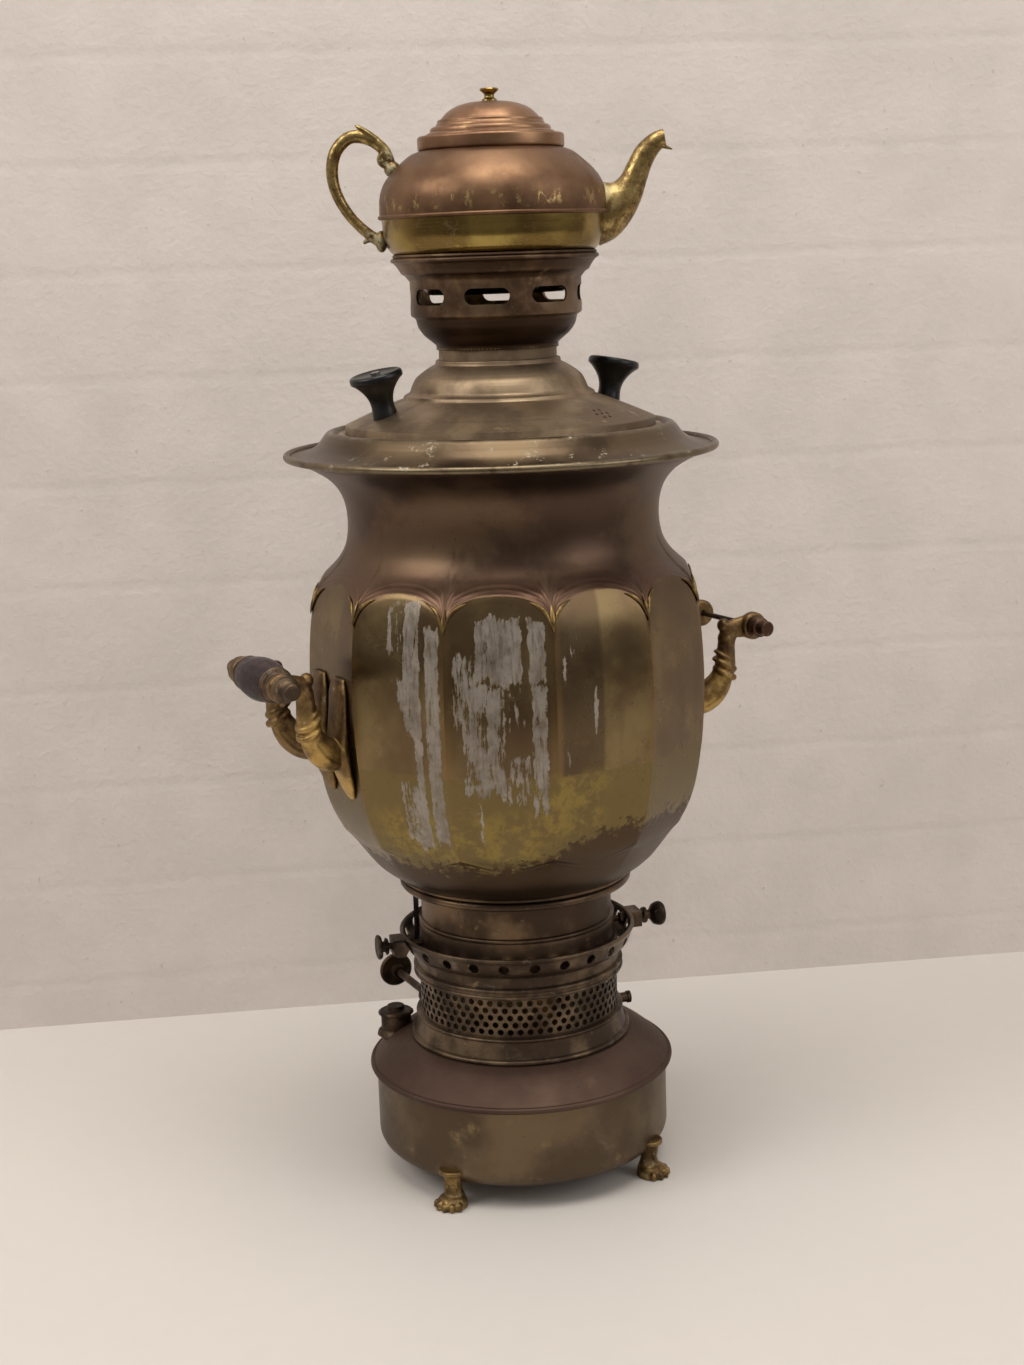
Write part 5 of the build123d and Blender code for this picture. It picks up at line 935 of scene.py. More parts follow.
tarnish("worn_gold", (0.11, 0.068, 0.03, 1), (0.30, 0.20, 0.075, 1), (0.46, 0.33, 0.13, 1), scale=110.0,
        rough=(0.28, 0.42), seed=27.0)
sprigs = bmesh.new()


def on_urn(turn, level, lift):
    """A point over the body's surface."""
    reach = urn_radius(turn, level)[0] + lift
    return (reach * cos(radians(turn)), reach * sin(radians(turn)), level)


for k in range(12):
    valley = 15 + 30 * k
    low = urn_radius(valley, 300)[1]
    out = Vector((cos(radians(valley)), sin(radians(valley)), 0.25))
    upright = [on_urn(valley, low + rise, 0.5) for rise in (-2.5, 1.0, 5.0, 9.0, 12.5)]
    sizes = [(0.3, 0.3), (1.0, 0.7), (1.5, 0.9), (1.0, 0.7), (0.2, 0.25)]
    swept_into(sprigs, *even(upright, sizes, 4), out, 12)
    sizes = [(0.3, 0.3), (0.9, 0.7), (1.2, 0.8), (0.8, 0.6), (0.2, 0.2)]
    for side in (-1, 1):
        stroke = []
        for along, rise in ((0.4, -1.0), (1.4, 3.0), (2.6, 5.6), (4.2, 7.2), (6.0, 8.0)):
            turn_at = valley + side * along
            arch_here = urn_radius(turn_at, 300)[1]
            level_at = arch_here * 0.5 + (low + rise) * 0.5 + rise * 0.35
            stroke.append(on_urn(turn_at, level_at, 0.5))
        swept_into(sprigs, *even(stroke, sizes, 4), out, 12)
piece("arch_sprigs", finish_mesh(sprigs, "arch_sprigs", 60.0), "urn", "worn_gold", ())


# Rim: one spun ring on the body's mouth with a ledge for the lid, a raised lip, a sloping shoulder and a
# flat brim rolled at the edge. Satin brown brass, worn pale along the rolled edge and the lip; the rolled
# edge also carries a painted highlight.
def off_axis(where):
    """How far a place is from the upright axis."""
    flat = add("ShaderNodeVectorMath", where, (1, 1, 0), how={"operation": "MULTIPLY"})
    return add("ShaderNodeVectorMath", flat, how={"operation": "LENGTH"}, output="Value")


where = begin("rim_brass")
away = off_axis(where)
clouds = spots(where, 22.0, 6.0, 0.6, 31.0)
patches = spots(where, 90.0, 6.0, 0.65, 32.0)
grains = spots(where, 600.0, 3.0, 0.6, 33.0)
rim_tone = blend_colours(fade(clouds, 0.40, 0.62), (0.085, 0.059, 0.037, 1), (0.140, 0.100, 0.060, 1))
# the pale rolled edge is partly wear and partly a painted highlight
edge_wear_and_highlight = fade(away, 0.1268, 0.1292) * fade(patches, 0.34, 0.52)
lip_wear = fade(split(where)[2], 0.4612, 0.4634) * fade(patches, 0.40, 0.56)
rim_wear_and_highlight = calc("MAXIMUM", edge_wear_and_highlight, lip_wear)
rim_tone = blend_colours(rim_wear_and_highlight * 0.8, rim_tone, (0.190, 0.152, 0.096, 1))
lime_spots = fade(patches, 0.60, 0.66) * fade(grains, 0.45, 0.58)
rim_tone = blend_colours(lime_spots * 0.7, rim_tone, (0.46, 0.42, 0.33, 1))
rim_polish = 0.30 + fade(clouds, 0.35, 0.65) * 0.14
shade("rim_brass", rim_tone, 1.0 - lime_spots * 0.6, rim_polish + lime_spots * 0.3, grains, 0.00004)
rim_line = [(89.0, 460.5), (98.3, 460.5)]
rim_line += through([(98.9, 461.3), (100.2, 463.3), (101.8, 463.5), (104.0, 462.3), (106.2, 459.6),
                     (108.2, 457.0), (111.5, 454.0), (117.0, 451.2), (122.5, 449.7)], 6)
rim_line += [(126.4, 449.6)]
rim_outline = walled(rim_line, 1.6)
rim_roll = arc((127.8, 449.4), 2.2, 0, 345, 15)
lathed("rim_spun", [rim_outline, rim_roll], "urn", "rim_brass", ["rim_ring"], 192)


# Lid: spun brass in steps up to an upright neck, with a group of small vent holes on its slope. Satin
# greenish brown with fine turning lines, a pale lime line in the steps and yellow on the neck.
tarnish("lid_brass", (0.16, 0.116, 0.076, 1), (0.29, 0.215, 0.138, 1), (0.38, 0.285, 0.165, 1), scale=24.0,
        rough=(0.42, 0.54), seed=35.0, pits=0.00005, lime=0.3, spin=1.2)


def dome_level(radius):
    """The height of the lid's slope at a radius."""
    return 480.5 - 14.0 * max((radius - 58) / 34, 0) ** 1.1


slope_radii = [58 + 34 * k / 16 for k in range(17)]
lid_line = [(35.0, 509.0), (35.0, 502.6)] + arc((36.0, 502.0), 1.1, 120, -20, 5)
lid_line += through([(37.6, 500.3), (41.0, 498.6), (44.5, 496.4), (47.4, 494.2), (49.3, 492.4),
                     (50.8, 490.0), (51.9, 487.6), (52.8, 485.2)], 5)
lid_line += [(53.4, 484.3), (55.2, 483.4), (56.6, 482.6), (57.2, 481.0)]
lid_line += [(radius, dome_level(radius)) for radius in slope_radii]
lid_line += [(92.6, 463.0), (92.8, 461.7), (96.5, 461.7)]
skirt_outline = [(88.6, 449.5), (88.6, 460.4), (94.5, 460.4), (94.5, 461.6), (87.4, 461.6), (87.4, 449.5)]
lid_work = bmesh.new()
lathe_into(lid_work, walled(lid_line, 1.2), 192)
vent_turn, vent_reach, vent_level = 110, 79, 474  # degrees and millimetres
vent_rows, vent_pitch = 4.0, 4.6
vents = bmesh.new()
for row, count in enumerate((2, 3, 2)):
    for k in range(count):
        out = vent_reach + (row - 1) * vent_rows
        across = (k - (count - 1) / 2) * vent_pitch
        at = turned_by(vent_turn) @ Matrix.Translation((out, across, vent_level))
        bmesh.ops.create_cone(vents, cap_ends=True, segments=16, radius1=1.1, radius2=1.1, depth=24,
                              matrix=at)
lid_mesh = pierced(finish_mesh(lid_work, "lid_spun"), finish_mesh(vents, "vents"))
piece("lid_spun", lid_mesh, "lid", "lid_brass", ["lid"])
lathed("lid_skirt", [skirt_outline], "lid", "inner_brass", (), 128)


# Two black knobs on the lid: turned hardwood, lacquered black and gone dull, trumpet-shaped under a rimmed
# flat top, each leaning out on a stud that is nutted inside the lid.
where = begin("black_lacquer")
dust = spots(where, 90.0, 6.0, 0.7, 41.0)
scuffs = spots(where, 500.0, 4.0, 0.6, 42.0)
knob_tone = blend_colours(fade(dust, 0.45, 0.7), (0.005, 0.005, 0.005, 1), (0.011, 0.0105, 0.010, 1))
knob_polish = 0.30 + fade(dust, 0.4, 0.65) * 0.10
shade("black_lacquer", knob_tone, 0.0, knob_polish, scuffs, 0.00002, Specular_IOR_Level=0.3)
knob_line = [(0, -3.5), (7.2, -3.5), (7.2, 1.0)]
knob_line += through([(7.1, 2.0), (6.7, 6.0), (7.3, 10.2), (9.2, 14.4), (12.0, 18.0), (14.3, 20.2)], 5)
knob_line += [(14.9, 20.5), (15.5, 21.2), (15.6, 22.2), (15.5, 23.6), (14.9, 24.6), (14.0, 25.0),
              (12.8, 24.6), (12.2, 24.2), (0, 24.2)]
knob_reach, knob_lean = 75, 12  # millimetres and degrees
for side, name in ((0, "left"), (180, "right")):
    stud = turned_by(side) @ Matrix.Translation((knob_reach, 0, dome_level(knob_reach)))
    lean = stud @ Matrix.Rotation(radians(knob_lean), 4, "Y")
    lathed(f"lid_knob_{name}_turned", [knob_line], "lid", "black_lacquer", [f"lid_knob_{name}"],
           96, lean)
dress("plain_steel", "steel", "lid_knob_studs")


# Crown that carries the teapot: a spun ring with a rolled flange, a fluted throat, a drum pierced with eight
# round-ended slots, a step and a bowl drawn in to a neck. Blackish brown and oily outside, brassy inside.
crown_tree = tarnish("crown_brown", (0.080, 0.050, 0.032, 1), (0.205, 0.138, 0.084, 1),
                     (0.31, 0.21, 0.115, 1), scale=26.0, rough=(0.36, 0.50), seed=45.0, pits=0.00005,
                     lime=0.12, spin=0.6)
# the bowl, which is below the drum, is coloured darker
crown_colour = crown_tree.nodes["Principled BSDF"].inputs["Base Color"]
where = Wire(crown_tree, crown_tree.nodes["Texture Coordinate"].outputs["Object"])
above_bowl = fade(split(where)[2], 0.5255, 0.5295)
metal_tone = Wire(crown_tree, crown_colour.links[0].from_socket)
feed(crown_colour, blend_colours(above_bowl, (0.050, 0.030, 0.019, 1), metal_tone))
crown_line = [(57.9, 562.5), (59.8, 562.5)] + arc((60.0, 561.2), 1.3, 80, -90, 8)
crown_line += through([(58.9, 558.9), (57.6, 557.2), (56.4, 555.4)], 4)
crown_line += through([(55.9, 554.4), (55.2, 553.4), (53.2, 552.2)], 4)
crown_line += [(51.9, 550.6), (50.6, 548.9), (50.6, 530.0), (50.2, 528.8), (48.2, 527.6), (47.6, 526.8)]
crown_line += through([(47.4, 525.8), (46.4, 522.2), (43.6, 518.0), (39.8, 514.6), (37.4, 512.6),
                       (36.3, 511.4), (36.2, 509.0)], 5)
crown_work = bmesh.new()
lathe_into(crown_work, walled(crown_line, 1.3), 192)
slot_level, slot_turn = 540.0, 11.5
slots = copied(punch(13.0, 4.6, 8.0, 28), "crown_slots", "crown_brown", Count=8, Radius=50.0, Low=slot_level,
               Turn=slot_turn)
piece("crown_spun", pierced(finish_mesh(crown_work, "crown_spun"), slots), "crown", "crown_brown",
      ["crown"])
spigot_outline = [(32.0, 501.2), (33.3, 501.2), (33.3, 509.0), (36.2, 509.0), (36.2, 510.3), (32.0, 510.3)]
lathed("crown_spigot", [spigot_outline], "crown", "inner_brass", (), 96)
# a thin brassy skin inside the drum, with slots of its own
lining_work = bmesh.new()
lathe_into(lining_work, [(48.9, 529.5), (49.25, 529.5), (49.25, 549.0), (48.9, 549.0)], 128)
lining_slots = copied(punch(13.2, 4.8, 8.0, 28), "lining_slots", "crown_brown", Count=8, Radius=49.0,
                      Low=slot_level, Turn=slot_turn)
piece("crown_lining", pierced(finish_mesh(lining_work, "crown_lining"), lining_slots), "crown", "worn_gold",
      ())


# Teapot: a yellow brass bowl and a copper shoulder lapped over it at a seam, a copper ring round the mouth, a
# cast spout with a drip beak and a cast C handle. Polished once, now clouded, with a crust round the solder.
tarnish("dull_copper", (0.175, 0.095, 0.056, 1), (0.285, 0.165, 0.095, 1), (0.38, 0.245, 0.125, 1),
        scale=20.0, share=(0.36, 0.60), rubbed=(0.58, 0.74), rough=(0.34, 0.46), seed=51.0, pits=0.00004,
        lime=0.10, spin=0.7)
tarnish("pot_brass", (0.17, 0.112, 0.036, 1), (0.36, 0.262, 0.078, 1), (0.48, 0.36, 0.12, 1), scale=22.0,
        rough=(0.18, 0.30), seed=52.0, pits=0.00003, lime=0.18, spin=0.3)
where = begin("clouded_copper")
parts = split(where)
clouds = spots(where, 20.0, 6.0, 0.6, 53.0)
patches = spots(where, 85.0, 6.0, 0.7, 54.0)
drips = stretched(where, 1, 1, 0.6)
smears = spots(drips, 150.0, 6.0, 0.75, 55.0)
grains = spots(where, 640.0, 3.0, 0.6, 56.0)
pot_tone = blend_colours(fade(clouds, 0.38, 0.62), (0.120, 0.066, 0.038, 1), (0.200, 0.116, 0.066, 1))
smear = between(parts[2], 0.5895, 0.5975, 0.0025) * fade(smears, 0.53, 0.62)
pot_tone = blend_colours(smear * 0.8, pot_tone, (0.44, 0.32, 0.135, 1))
haze = fade(parts[2], 0.607, 0.622) * 0.45
pot_tone = blend_colours(haze, pot_tone, (0.17, 0.10, 0.062, 1))
specks = fade(grains, 0.64, 0.74)
pot_tone = blend_colours(specks * 0.5, pot_tone, (0.09, 0.04, 0.022, 1))
pot_polish = 0.40 + fade(patches, 0.4, 0.65) * 0.12
pot_polish = pot_polish - smear * 0.1
shade("clouded_copper", pot_tone, 1.0, pot_polish, grains, 0.00004)

teapot_turn = turned_by(152.5)

# spout and handle: cast yellow brass, polished where held, with a greenish white crust round the solder
where = begin("soldered_brass")
patches = spots(where, 75.0, 6.0, 0.65, 57.0)
blots = spots(where, 210.0, 6.0, 0.7, 58.0)
grains = spots(where, 700.0, 3.0, 0.6, 59.0)
spout_tone = blend_colours(fade(blots, 0.40, 0.60), (0.125, 0.080, 0.034, 1), (0.34, 0.240, 0.092, 1))
spout_tone = blend_colours(fade(patches, 0.50, 0.66) * 0.6, spout_tone, (0.46, 0.345, 0.145, 1))
near_solder = None
# how far out the solder is on the spout's side, its height and its size
solder = ((-58.0, 614.0, 11.0), (-66.0, 573.0, 11.0), (64.0, 592.0, 11.0), (63.0, 577.0, 9.0))
for out, level, size in solder:
    spot = teapot_turn @ Vector((out * 0.001, 0, level * 0.001))
    gap = add("ShaderNodeVectorMath", where, tuple(spot), how={"operation": "DISTANCE"}, output="Value")
    close = 1.0 - fade(gap, size * 0.0007, size * 0.0013)
    near_solder = close if near_solder is None else calc("MAXIMUM", near_solder, close)
crust = near_solder * fade(blots, 0.47, 0.56)
spout_tone = blend_colours(crust * 0.75, spout_tone, (0.26, 0.25, 0.17, 1))
spout_polish = 0.24 + fade(blots, 0.6, 0.4) * 0.16
spout_relief = grains * 0.5 + blots
shade("soldered_brass", spout_tone, 1.0 - crust * 0.8, spout_polish + crust * 0.35, spout_relief, 0.00016)
bowl_line = through([(65.4, 585.0), (65.1, 580.0), (64.6, 574.0), (62.9, 569.6), (61.2, 566.6), (57.0, 562.6),
                     (51.6, 555.5), (46.5, 548.5), (40.0, 541.0)], 6)
bowl_line += [(38.0, 541.0), (0, 541.0)]
lathed("pot_bowl", [walled(bowl_line, 1.1)], "teapot", "pot_brass", ["teapot_bowl"], 160)
bead_outline = [(56.3, 562.5), (59.6, 562.5), (60.2, 563.4), (59.6, 564.4), (57.4, 563.6)]
lathed("pot_foot_bead", [bead_outline], "teapot", "crown_brown", (), 128)
shoulder_line = through([(41.8, 622.9), (45.6, 621.6), (48.6, 620.0), (54.2, 615.4), (59.4, 610.4),
                         (63.4, 605.0), (65.8, 598.6), (66.6, 591.6), (66.4, 586.9)], 6)
shoulder_line += arc((66.4, 586.0), 1.2, 70, -80, 6) + [(65.9, 584.6)]
lathed("pot_shoulder", [walled(shoulder_line, 1.1)], "teapot", "clouded_copper", ["teapot_shoulder"],
       160)
mouth_outline = eased([(36.0, 623.0), (42.2, 623.0), (42.8, 624.1), (42.8, 630.0), (42.0, 631.0),
                       (38.4, 631.0), (38.4, 629.4), (36.0, 629.4)], 0.5)
lathed("pot_mouth_ring", [mouth_outline], "teapot", "dull_copper", ["teapot_neck_ring"], 128)

spout_work = bmesh.new()
spout_route = ((60.0, 584.5, 6, 18.5, 12.5), (68.0, 586.5, 12, 16.5, 11.5), (75.5, 591.5, 28, 12.0, 9.6),
               (81.0, 599.0, 42, 9.0, 7.8), (84.8, 608.0, 52, 7.4, 6.6), (89.5, 617.5, 48, 6.6, 5.8),
               (96.0, 624.2, 24, 5.6, 4.8), (101.0, 626.6, 10, 4.8, 4.2))
spout_steps = 36
sections = through(spout_route, 6)
outer_rings, inner_rings = [], []
for out, level, lean, high, wide in sections:
    for rings, inset in ((outer_rings, 0.0), (inner_rings, 1.2)):
        ring = []
        for k in range(spout_steps):
            a = 2 * pi * k / spout_steps
            rise = (high - inset) * sin(a)
            reach = out - rise * sin(radians(lean))
            up_to = level + rise * cos(radians(lean))
            ring.append(spout_work.verts.new(teapot_turn @ Vector((reach, (wide - inset) * cos(a), up_to))))
        rings.append(ring)
tube_rings = outer_rings + inner_rings[::-1]
for ring, ahead in zip(tube_rings, tube_rings[1:] + tube_rings[:1]):
    for k in range(spout_steps):
        spout_work.faces.new((ring[k], ring[(k + 1) % spout_steps], ahead[(k + 1) % spout_steps], ahead[k]))
beak = [(97.5, 0, 622.6), (101.5, 0, 621.3), (105.4, 0, 619.8)]
swept_into(spout_work, beak, [(3.2, 1.7), (2.2, 1.2), (0.5, 0.4)], (0, 0, 1), 16, teapot_turn)
piece("pot_spout", finish_mesh(spout_work, "pot_spout"), "teapot", "soldered_brass", ["teapot_spout"])

handle_work = bmesh.new()
handle_route = [(66.0, 572.0), (74.5, 578.2), (83.5, 587.5), (90.6, 600.0), (93.0, 613.0), (90.0, 625.0),
                (81.5, 632.3), (71.0, 631.0), (62.5, 624.8), (59.0, 616.5)]
handle_sizes = [(3.6, 3.4), (3.2, 3.2), (3.1, 3.2), (3.3, 3.3), (3.6, 3.4), (3.8, 3.5), (3.8, 3.4),
                (3.6, 3.2), (3.5, 3.2), (3.4, 3.4)]
swept_into(handle_work, *even([(-out, 0, level) for out, level in handle_route], handle_sizes, 6),
           (0, 1, 0), 20, teapot_turn)
thumb_rest = [(-66.0, 0, 630.0), (-71.5, 0, 634.6), (-75.5, 0, 637.2), (-78.2, 0, 639.0)]
swept_into(handle_work, *even(thumb_rest, [(3.2, 2.4), (3.3, 1.8), (2.4, 1.4), (0.8, 0.8)], 4),
           (0, 0, 1), 16, teapot_turn)
curl = teapot_turn @ Matrix.Translation((-61.8, 0, 619.0)) @ Matrix.Rotation(pi / 2, 4, "X")
lathe_into(handle_work, [(0, -3.9), (4.2, -3.5), (4.9, -1.8), (4.9, 1.8), (4.2, 3.5), (0, 3.9)], 28, curl)
ball_into(handle_work, (-57.6, 0, 613.4), (5.2, 6.0, 4.6), teapot_turn)
ball_into(handle_work, (-66.0, 0, 572.6), (3.6, 6.6, 6.4), teapot_turn)
heel = [(-70.0, 0, 575.0), (-74.0, 0, 573.8), (-76.6, 0, 571.6)]
swept_into(handle_work, *even(heel, [(2.8, 2.2), (2.2, 1.8), (0.8, 0.8)], 4), (0, 0, 1), 14, teapot_turn)
piece("pot_handle", cast(handle_work, "pot_handle", 0.55, 3), "teapot", "soldered_brass", ["teapot_handle"])

pot_lid_line = [(0, 650.0), (5.0, 650.0)]
pot_lid_line += through([(8.0, 649.9), (13.0, 649.3), (17.5, 648.2), (21.4, 646.6), (24.6, 644.6),
                         (27.2, 642.2), (28.8, 640.4)], 5)
pot_lid_line += arc((29.6, 639.0), 1.2, 120, -20, 5)
pot_lid_line += [(31.0, 638.0), (31.6, 637.4), (31.9, 636.4), (33.2, 636.2), (34.6, 635.5), (35.2, 634.5),
                 (35.3, 633.3), (36.4, 632.8), (37.6, 632.0), (38.0, 630.7)]
pot_lid_skirt = [(34.5, 622.0), (35.6, 622.0), (35.6, 629.4), (38.0, 629.4), (38.0, 630.7), (34.5, 630.7)]
lathed("pot_lid", [walled(pot_lid_line, 1.1), pot_lid_skirt], "teapot_lid", "dull_copper", ["teapot_lid"],
       128)
spool = [(0, 650.0), (4.6, 650.0), (4.4, 651.0), (3.2, 651.8), (2.8, 652.8), (3.0, 654.0), (4.4, 655.2),
         (5.3, 655.9), (5.6, 656.6), (5.2, 657.3), (4.4, 657.4), (3.6, 657.0), (0, 656.8)]
lathed("pot_lid_knob", [spool], "teapot_lid", "pot_brass", ["teapot_lid_knob"], 64)


# Two carrying handles: each has two cast brass arms that spring from a leaf on the urn, dip to a bowl, pass
# through three bands and rise to the eye of a steel rod. Cast rough, dark in the hollows, gold where held,
# and the rear arms darkened with painted shade.
rod_reach = 159.6
rod_level = 328


def arm_mesh(name):
    """One arm of the +X handle on its +Y side, before its turns and mirrors."""
    work = bmesh.new()
    root_reach, root_side, eye_side = 117.2, 14, 30
    splay = degrees(atan2(eye_side - root_side, rod_reach - root_reach))
    stand = Matrix.Translation((root_reach, root_side, rod_level)) @ turned_by(splay)
    bowl = [(-5.0, 0, -43.0), (3.0, 0, -45.6), (11.0, 0, -45.4), (18.0, 0, -41.6), (22.8, 0, -35.8),
            (25.6, 0, -29.6)]
    bowl_sizes = [(8.0, 6.4), (9.6, 7.4), (10.0, 7.9), (9.4, 7.8), (8.2, 7.1), (6.6, 6.0)]
    swept_into(work, *even(bowl, bowl_sizes, 6), (0, 1, 0), 28, stand)
    rim_fold = [(6.0, 4.6, -50.4), (13.0, 5.6, -50.0), (20.0, 5.6, -45.6), (25.4, 5.0, -38.6),
                (28.6, 4.0, -31.6)]
    for side in (-1, 1):
        fold = [(out, across * side, up_to) for out, across, up_to in rim_fold]
        swept_into(work, *even(fold, [(1.2, 1.6), (1.6, 2.0), (1.7, 2.2), (1.6, 2.0), (1.2, 1.4)], 4),
                   (0, 1, 0), 12, stand)
    shaft = [(25.4, 0, -31.0), (27.2, 0, -25.0), (27.9, 0, -18.0), (28.2, 0, -11.0), (29.4, 0, -5.0),
             (32.4, 0, -1.6), (37.0, 0, -0.6), (42.6, 0, 0.0)]
    shaft_sizes = [(6.2, 6.2), (6.6, 6.6), (5.9, 6.0), (5.5, 5.6), (5.8, 5.4), (6.0, 4.6), (6.6, 3.9),
                   (7.4, 3.4)]
    swept_into(work, *even(shaft, shaft_sizes, 6), (0, 1, 0), 24, stand)
    for height, reach, thick in ((-29.2, 7.7, 2.1), (-23.6, 7.9, 2.1), (-18.6, 7.0, 1.4)):
        tilt = stand @ Matrix.Translation((27.0, 0, height)) @ Matrix.Rotation(radians(30), 4, "Y")
        band_outline = [(4.0, -thick), (reach - 0.5, -thick * 0.8), (reach, 0), (reach - 0.8, thick * 0.8),
                        (4.0, thick)]
        lathe_into(work, band_outline, 36, tilt @ Matrix.Diagonal((1.12, 1, 1, 1)))
    ball_into(work, (26.6, 0, 1.0), (4.2, 4.2, 4.6), stand)
    ball_into(work, (24.9, 0, -7.2), (2.2, 3.4, 3.6), stand)
    eye = Matrix.Translation((rod_reach, eye_side, rod_level)) @ Matrix.Rotation(pi / 2, 4, "X")
    lathe_into(work, [(1.9, -3.4), (7.8, -3.4), (8.7, -2.2), (8.7, 2.2), (7.8, 3.4), (1.9, 3.4)], 40, eye)
    root_level = 288.0
    # heights from the root, half widths, half depths: the leaf below it, and the stub of the one above it
    leaf_forms = (((2.0, -5.0, -12.0, -20.0, -28.0, -34.6), (9.0, 11.4, 11.6, 10.4, 8.0, 3.6),
                   (6.0, 5.4, 4.6, 3.6, 2.6, 1.4)),
                  ((-4.0, 3.0, 10.0, 20.0, 30.0, 38.0), (9.0, 11.0, 11.6, 11.6, 11.0, 7.6),
                   (5.0, 4.6, 3.8, 3.0, 2.6, 1.6)))
    for rises, widths, depths in leaf_forms:
        leaf_route = [(panel_reach(root_level + rise) + depth - 1.0, root_side, root_level + rise)
                      for rise, depth in zip(rises, depths)]
        swept_into(work, *even(leaf_route, list(zip(widths, depths)), 4), (1, 0, 0), 24)
    return cast(work, name, 0.6, 3)


where = begin("handle_brass")
clouds = spots(where, 60.0, 5.0, 0.6, 61.0)
patches = spots(where, 180.0, 6.0, 0.7, 62.0)
grains = spots(where, 700.0, 3.0, 0.6, 63.0)
level = split(where)[2] * 1000.0
on_panel = 1.0 - fade(off_axis(where), 0.130, 0.135)
above_root = fade(level + patches * 8.0, 292.0, 297.0)
upper_dark_and_rear_shade = fade(level + patches * 22.0, 310.0, 326.0)
upper_dark_and_rear_shade = calc("MAXIMUM", upper_dark_and_rear_shade, on_panel * above_root)
# painted shade: the rear arms, on the side away from the camera, are darkened
depth_here = split(where)[1] * 1000.0
rear_arm_shade = 1.0 - fade(depth_here - patches * 8.0, -12.0, -4.0)
upper_dark_and_rear_shade = calc("MAXIMUM", upper_dark_and_rear_shade, rear_arm_shade * 0.85)
handle_tone = blend_colours(fade(clouds, 0.40, 0.60), (0.17, 0.105, 0.042, 1), (0.50, 0.33, 0.11, 1))
brown_tone = blend_colours(fade(patches, 0.42, 0.62), (0.075, 0.042, 0.026, 1), (0.20, 0.125, 0.055, 1))
handle_tone = blend_colours(upper_dark_and_rear_shade * 0.85, handle_tone, brown_tone)
crust = fade(patches, 0.60, 0.68) * fade(clouds, 0.45, 0.55)
handle_tone = blend_colours(crust * 0.8, handle_tone, (0.40, 0.38, 0.28, 1))
handle_polish = 0.34 + fade(patches, 0.35, 0.65) * 0.24
shade("handle_brass", handle_tone, 0.96 - crust * 0.7, handle_polish, grains + patches, 0.00015)

arm = arm_mesh("arm")
for side_x, hand in ((1, "left"), (-1, "right")):
    for side_y, end in ((1, "front"), (-1, "rear")):
        one = arm.copy()
        one.transform(Matrix.Diagonal((side_x, side_y, 1, 1)))
        if side_x * side_y < 0:
            one.flip_normals()
        piece(f"{hand}_arm_{end}", one, "urn", "handle_brass", [f"{hand}_handle_arm_{end}"])

tarnish("ferrule_brown", (0.065, 0.042, 0.026, 1), (0.165, 0.112, 0.068, 1), (0.27, 0.20, 0.12, 1),
        scale=90.0, rough=(0.42, 0.58), seed=64.0, pits=0.0001, lime=0.4, metal=0.8)
tarnish("cap_copper", (0.075, 0.042, 0.028, 1), (0.17, 0.095, 0.060, 1), (0.27, 0.165, 0.10, 1), scale=80.0,
        rough=(0.36, 0.5), seed=65.0, lime=0.2)
ribbed_cap = [(0, 33.5), (7.9, 33.5), (8.3, 34.6), (8.1, 35.6), (6.6, 36.1), (6.9, 37.2), (7.0, 38.0),
              (5.6, 38.6), (5.9, 40.0), (4.2, 41.0), (4.8, 41.5), (4.8, 46.2), (4.1, 47.0), (0, 47.0)]
plain_cap = [(0, 33.5), (6.2, 33.5), (6.8, 34.6), (6.8, 36.2), (6.2, 37.6), (6.2, 39.6), (4.4, 40.6),
             (4.8, 41.4), (4.8, 46.3), (4.2, 47.0), (0, 47.0)]
for hand, side, cap, metal in (("left", 1, ribbed_cap, "ferrule_brown"),
                               ("right", -1, plain_cap, "cap_copper")):
    lay = Matrix.Translation((rod_reach * side, 0, rod_level)) @ Matrix.Rotation(-pi / 2, 4, "X")
    rod_line = eased([(0, -46), (1.7, -46), (1.7, 46), (0, 46)], 0.2)
    lathed(f"{hand}_rod_drawn", [rod_line], "urn", "oiled_brown", [f"{hand}_handle_rod"], 24, lay)
    caps = bmesh.new()
    for way in (0, pi):
        lathe_into(caps, eased(cap, 0.35), 48, lay @ Matrix.Rotation(way, 4, "X"))
    piece(f"{hand}_caps_turned", finish_mesh(caps, f"{hand}_caps_turned"), "urn", metal,
          [f"{hand}_rod_caps"])


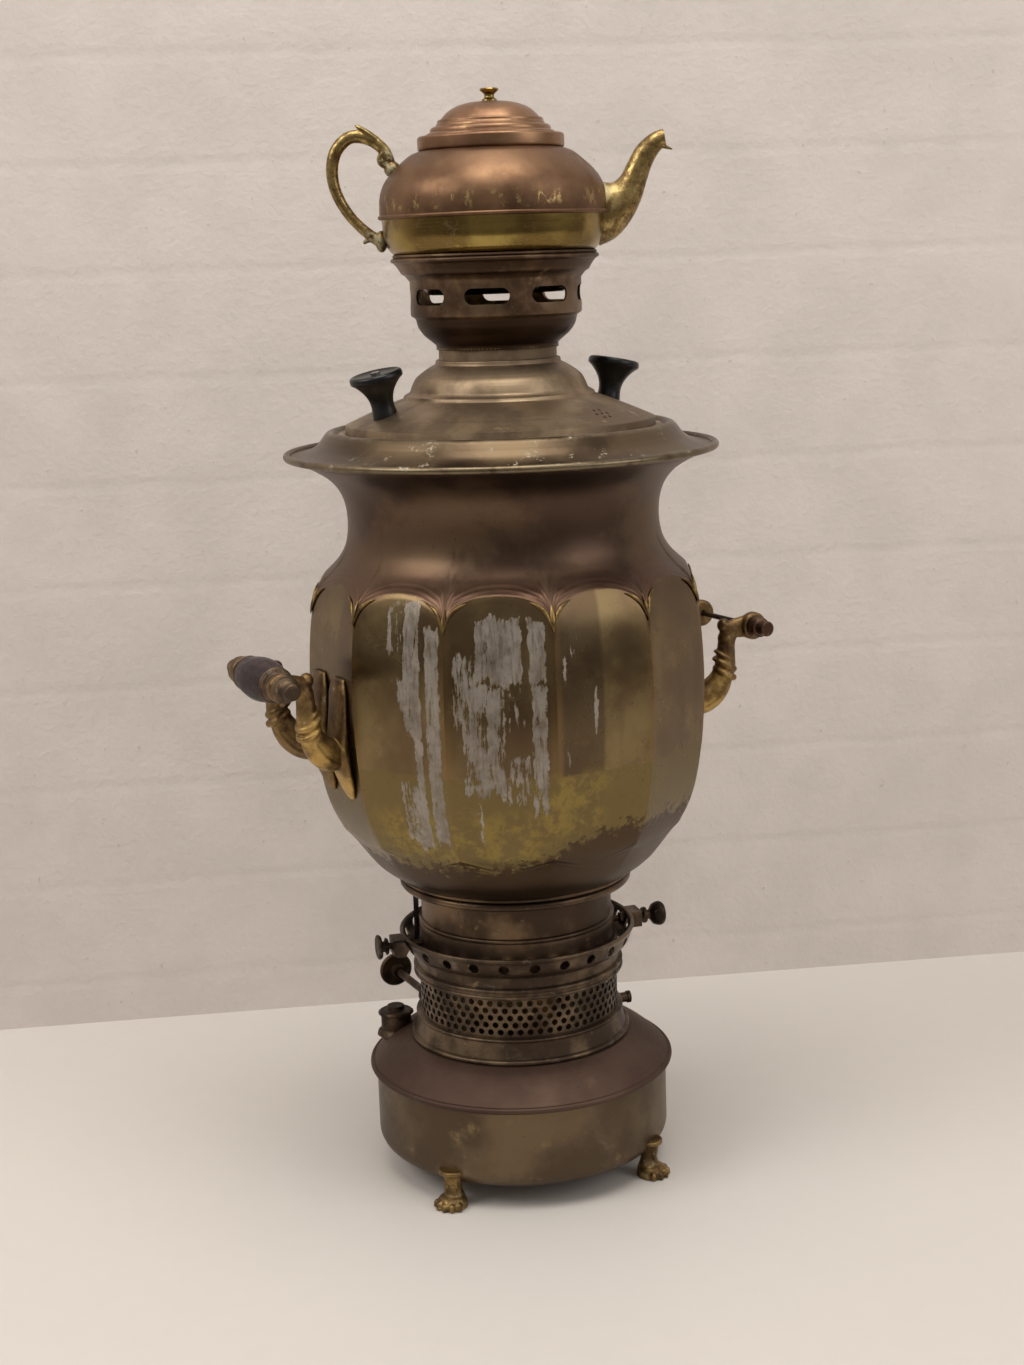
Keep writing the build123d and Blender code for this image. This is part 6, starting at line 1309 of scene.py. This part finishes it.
# Grip on the left handle: a turned hardwood barrel between two ribbed ferrules, loose on its rod. The wood
# is stained a purplish brown, with a dull lacquer worn along the turning lines.
where = begin("stained_wood")
across = stretched(where, 1, 7, 1)
rings = spots(across, 120.0, 4.0, 0.6, 71.0)
along = stretched(where, 1, 0.12, 1)
fibres = spots(along, 420.0, 5.0, 0.7, 72.0)
grime = spots(where, 90.0, 5.0, 0.6, 73.0)
wood_tone = blend_colours(fade(fibres, 0.35, 0.65), (0.010, 0.005, 0.006, 1), (0.030, 0.015, 0.017, 1))
wood_tone = blend_colours(fade(rings, 0.55, 0.68) * 0.5, wood_tone, (0.055, 0.032, 0.030, 1))
wood_polish = 0.34 + fade(grime, 0.4, 0.65) * 0.2
shade("stained_wood", wood_tone, 0.0, wood_polish, rings + fibres, 0.00008, Specular_IOR_Level=0.28)
grip_lay = Matrix.Translation((rod_reach, 0, rod_level)) @ Matrix.Rotation(-pi / 2, 4, "X")
barrel_line = [(1.8, -20.5), (9.6, -20.5)]
barrel_line += through([(9.9, -20.2), (10.6, -17.5), (11.9, -10.0), (12.6, -4.0), (12.8, 0), (12.6, 4.0),
                        (11.9, 10.0), (10.6, 17.5), (9.9, 20.2)], 4)
barrel_line += [(9.6, 20.5), (1.8, 20.5)]
lathed("grip_barrel", [barrel_line], "grip", "stained_wood", ["handle_grip"], 96, grip_lay)
cup = eased([(1.8, 20.5), (10.1, 20.5), (10.6, 21.0), (10.6, 21.9), (9.6, 22.4), (9.4, 22.7), (9.9, 23.2),
             (9.8, 23.9), (8.4, 24.3), (8.1, 24.6), (8.3, 25.2), (8.2, 26.2), (1.8, 26.3)], 0.25)
ferrules = bmesh.new()
for way in (0, pi):
    lathe_into(ferrules, cup, 64, grip_lay @ Matrix.Rotation(way, 4, "X"))
piece("grip_ferrules_turned", finish_mesh(ferrules, "grip_ferrules_turned"), "grip", "ferrule_brown",
      ["grip_ferrules"])


# Tap on the far side: a scalloped plate soldered to a panel, a cast barrel with an upright plug case and a
# turned-down spout, the plug with its branched key and the nut that holds it. Cast and turned brass.
dress("cast_brass", "bright_brass", "tap_plate", "tap_body", "tap_key", "tap_nut")
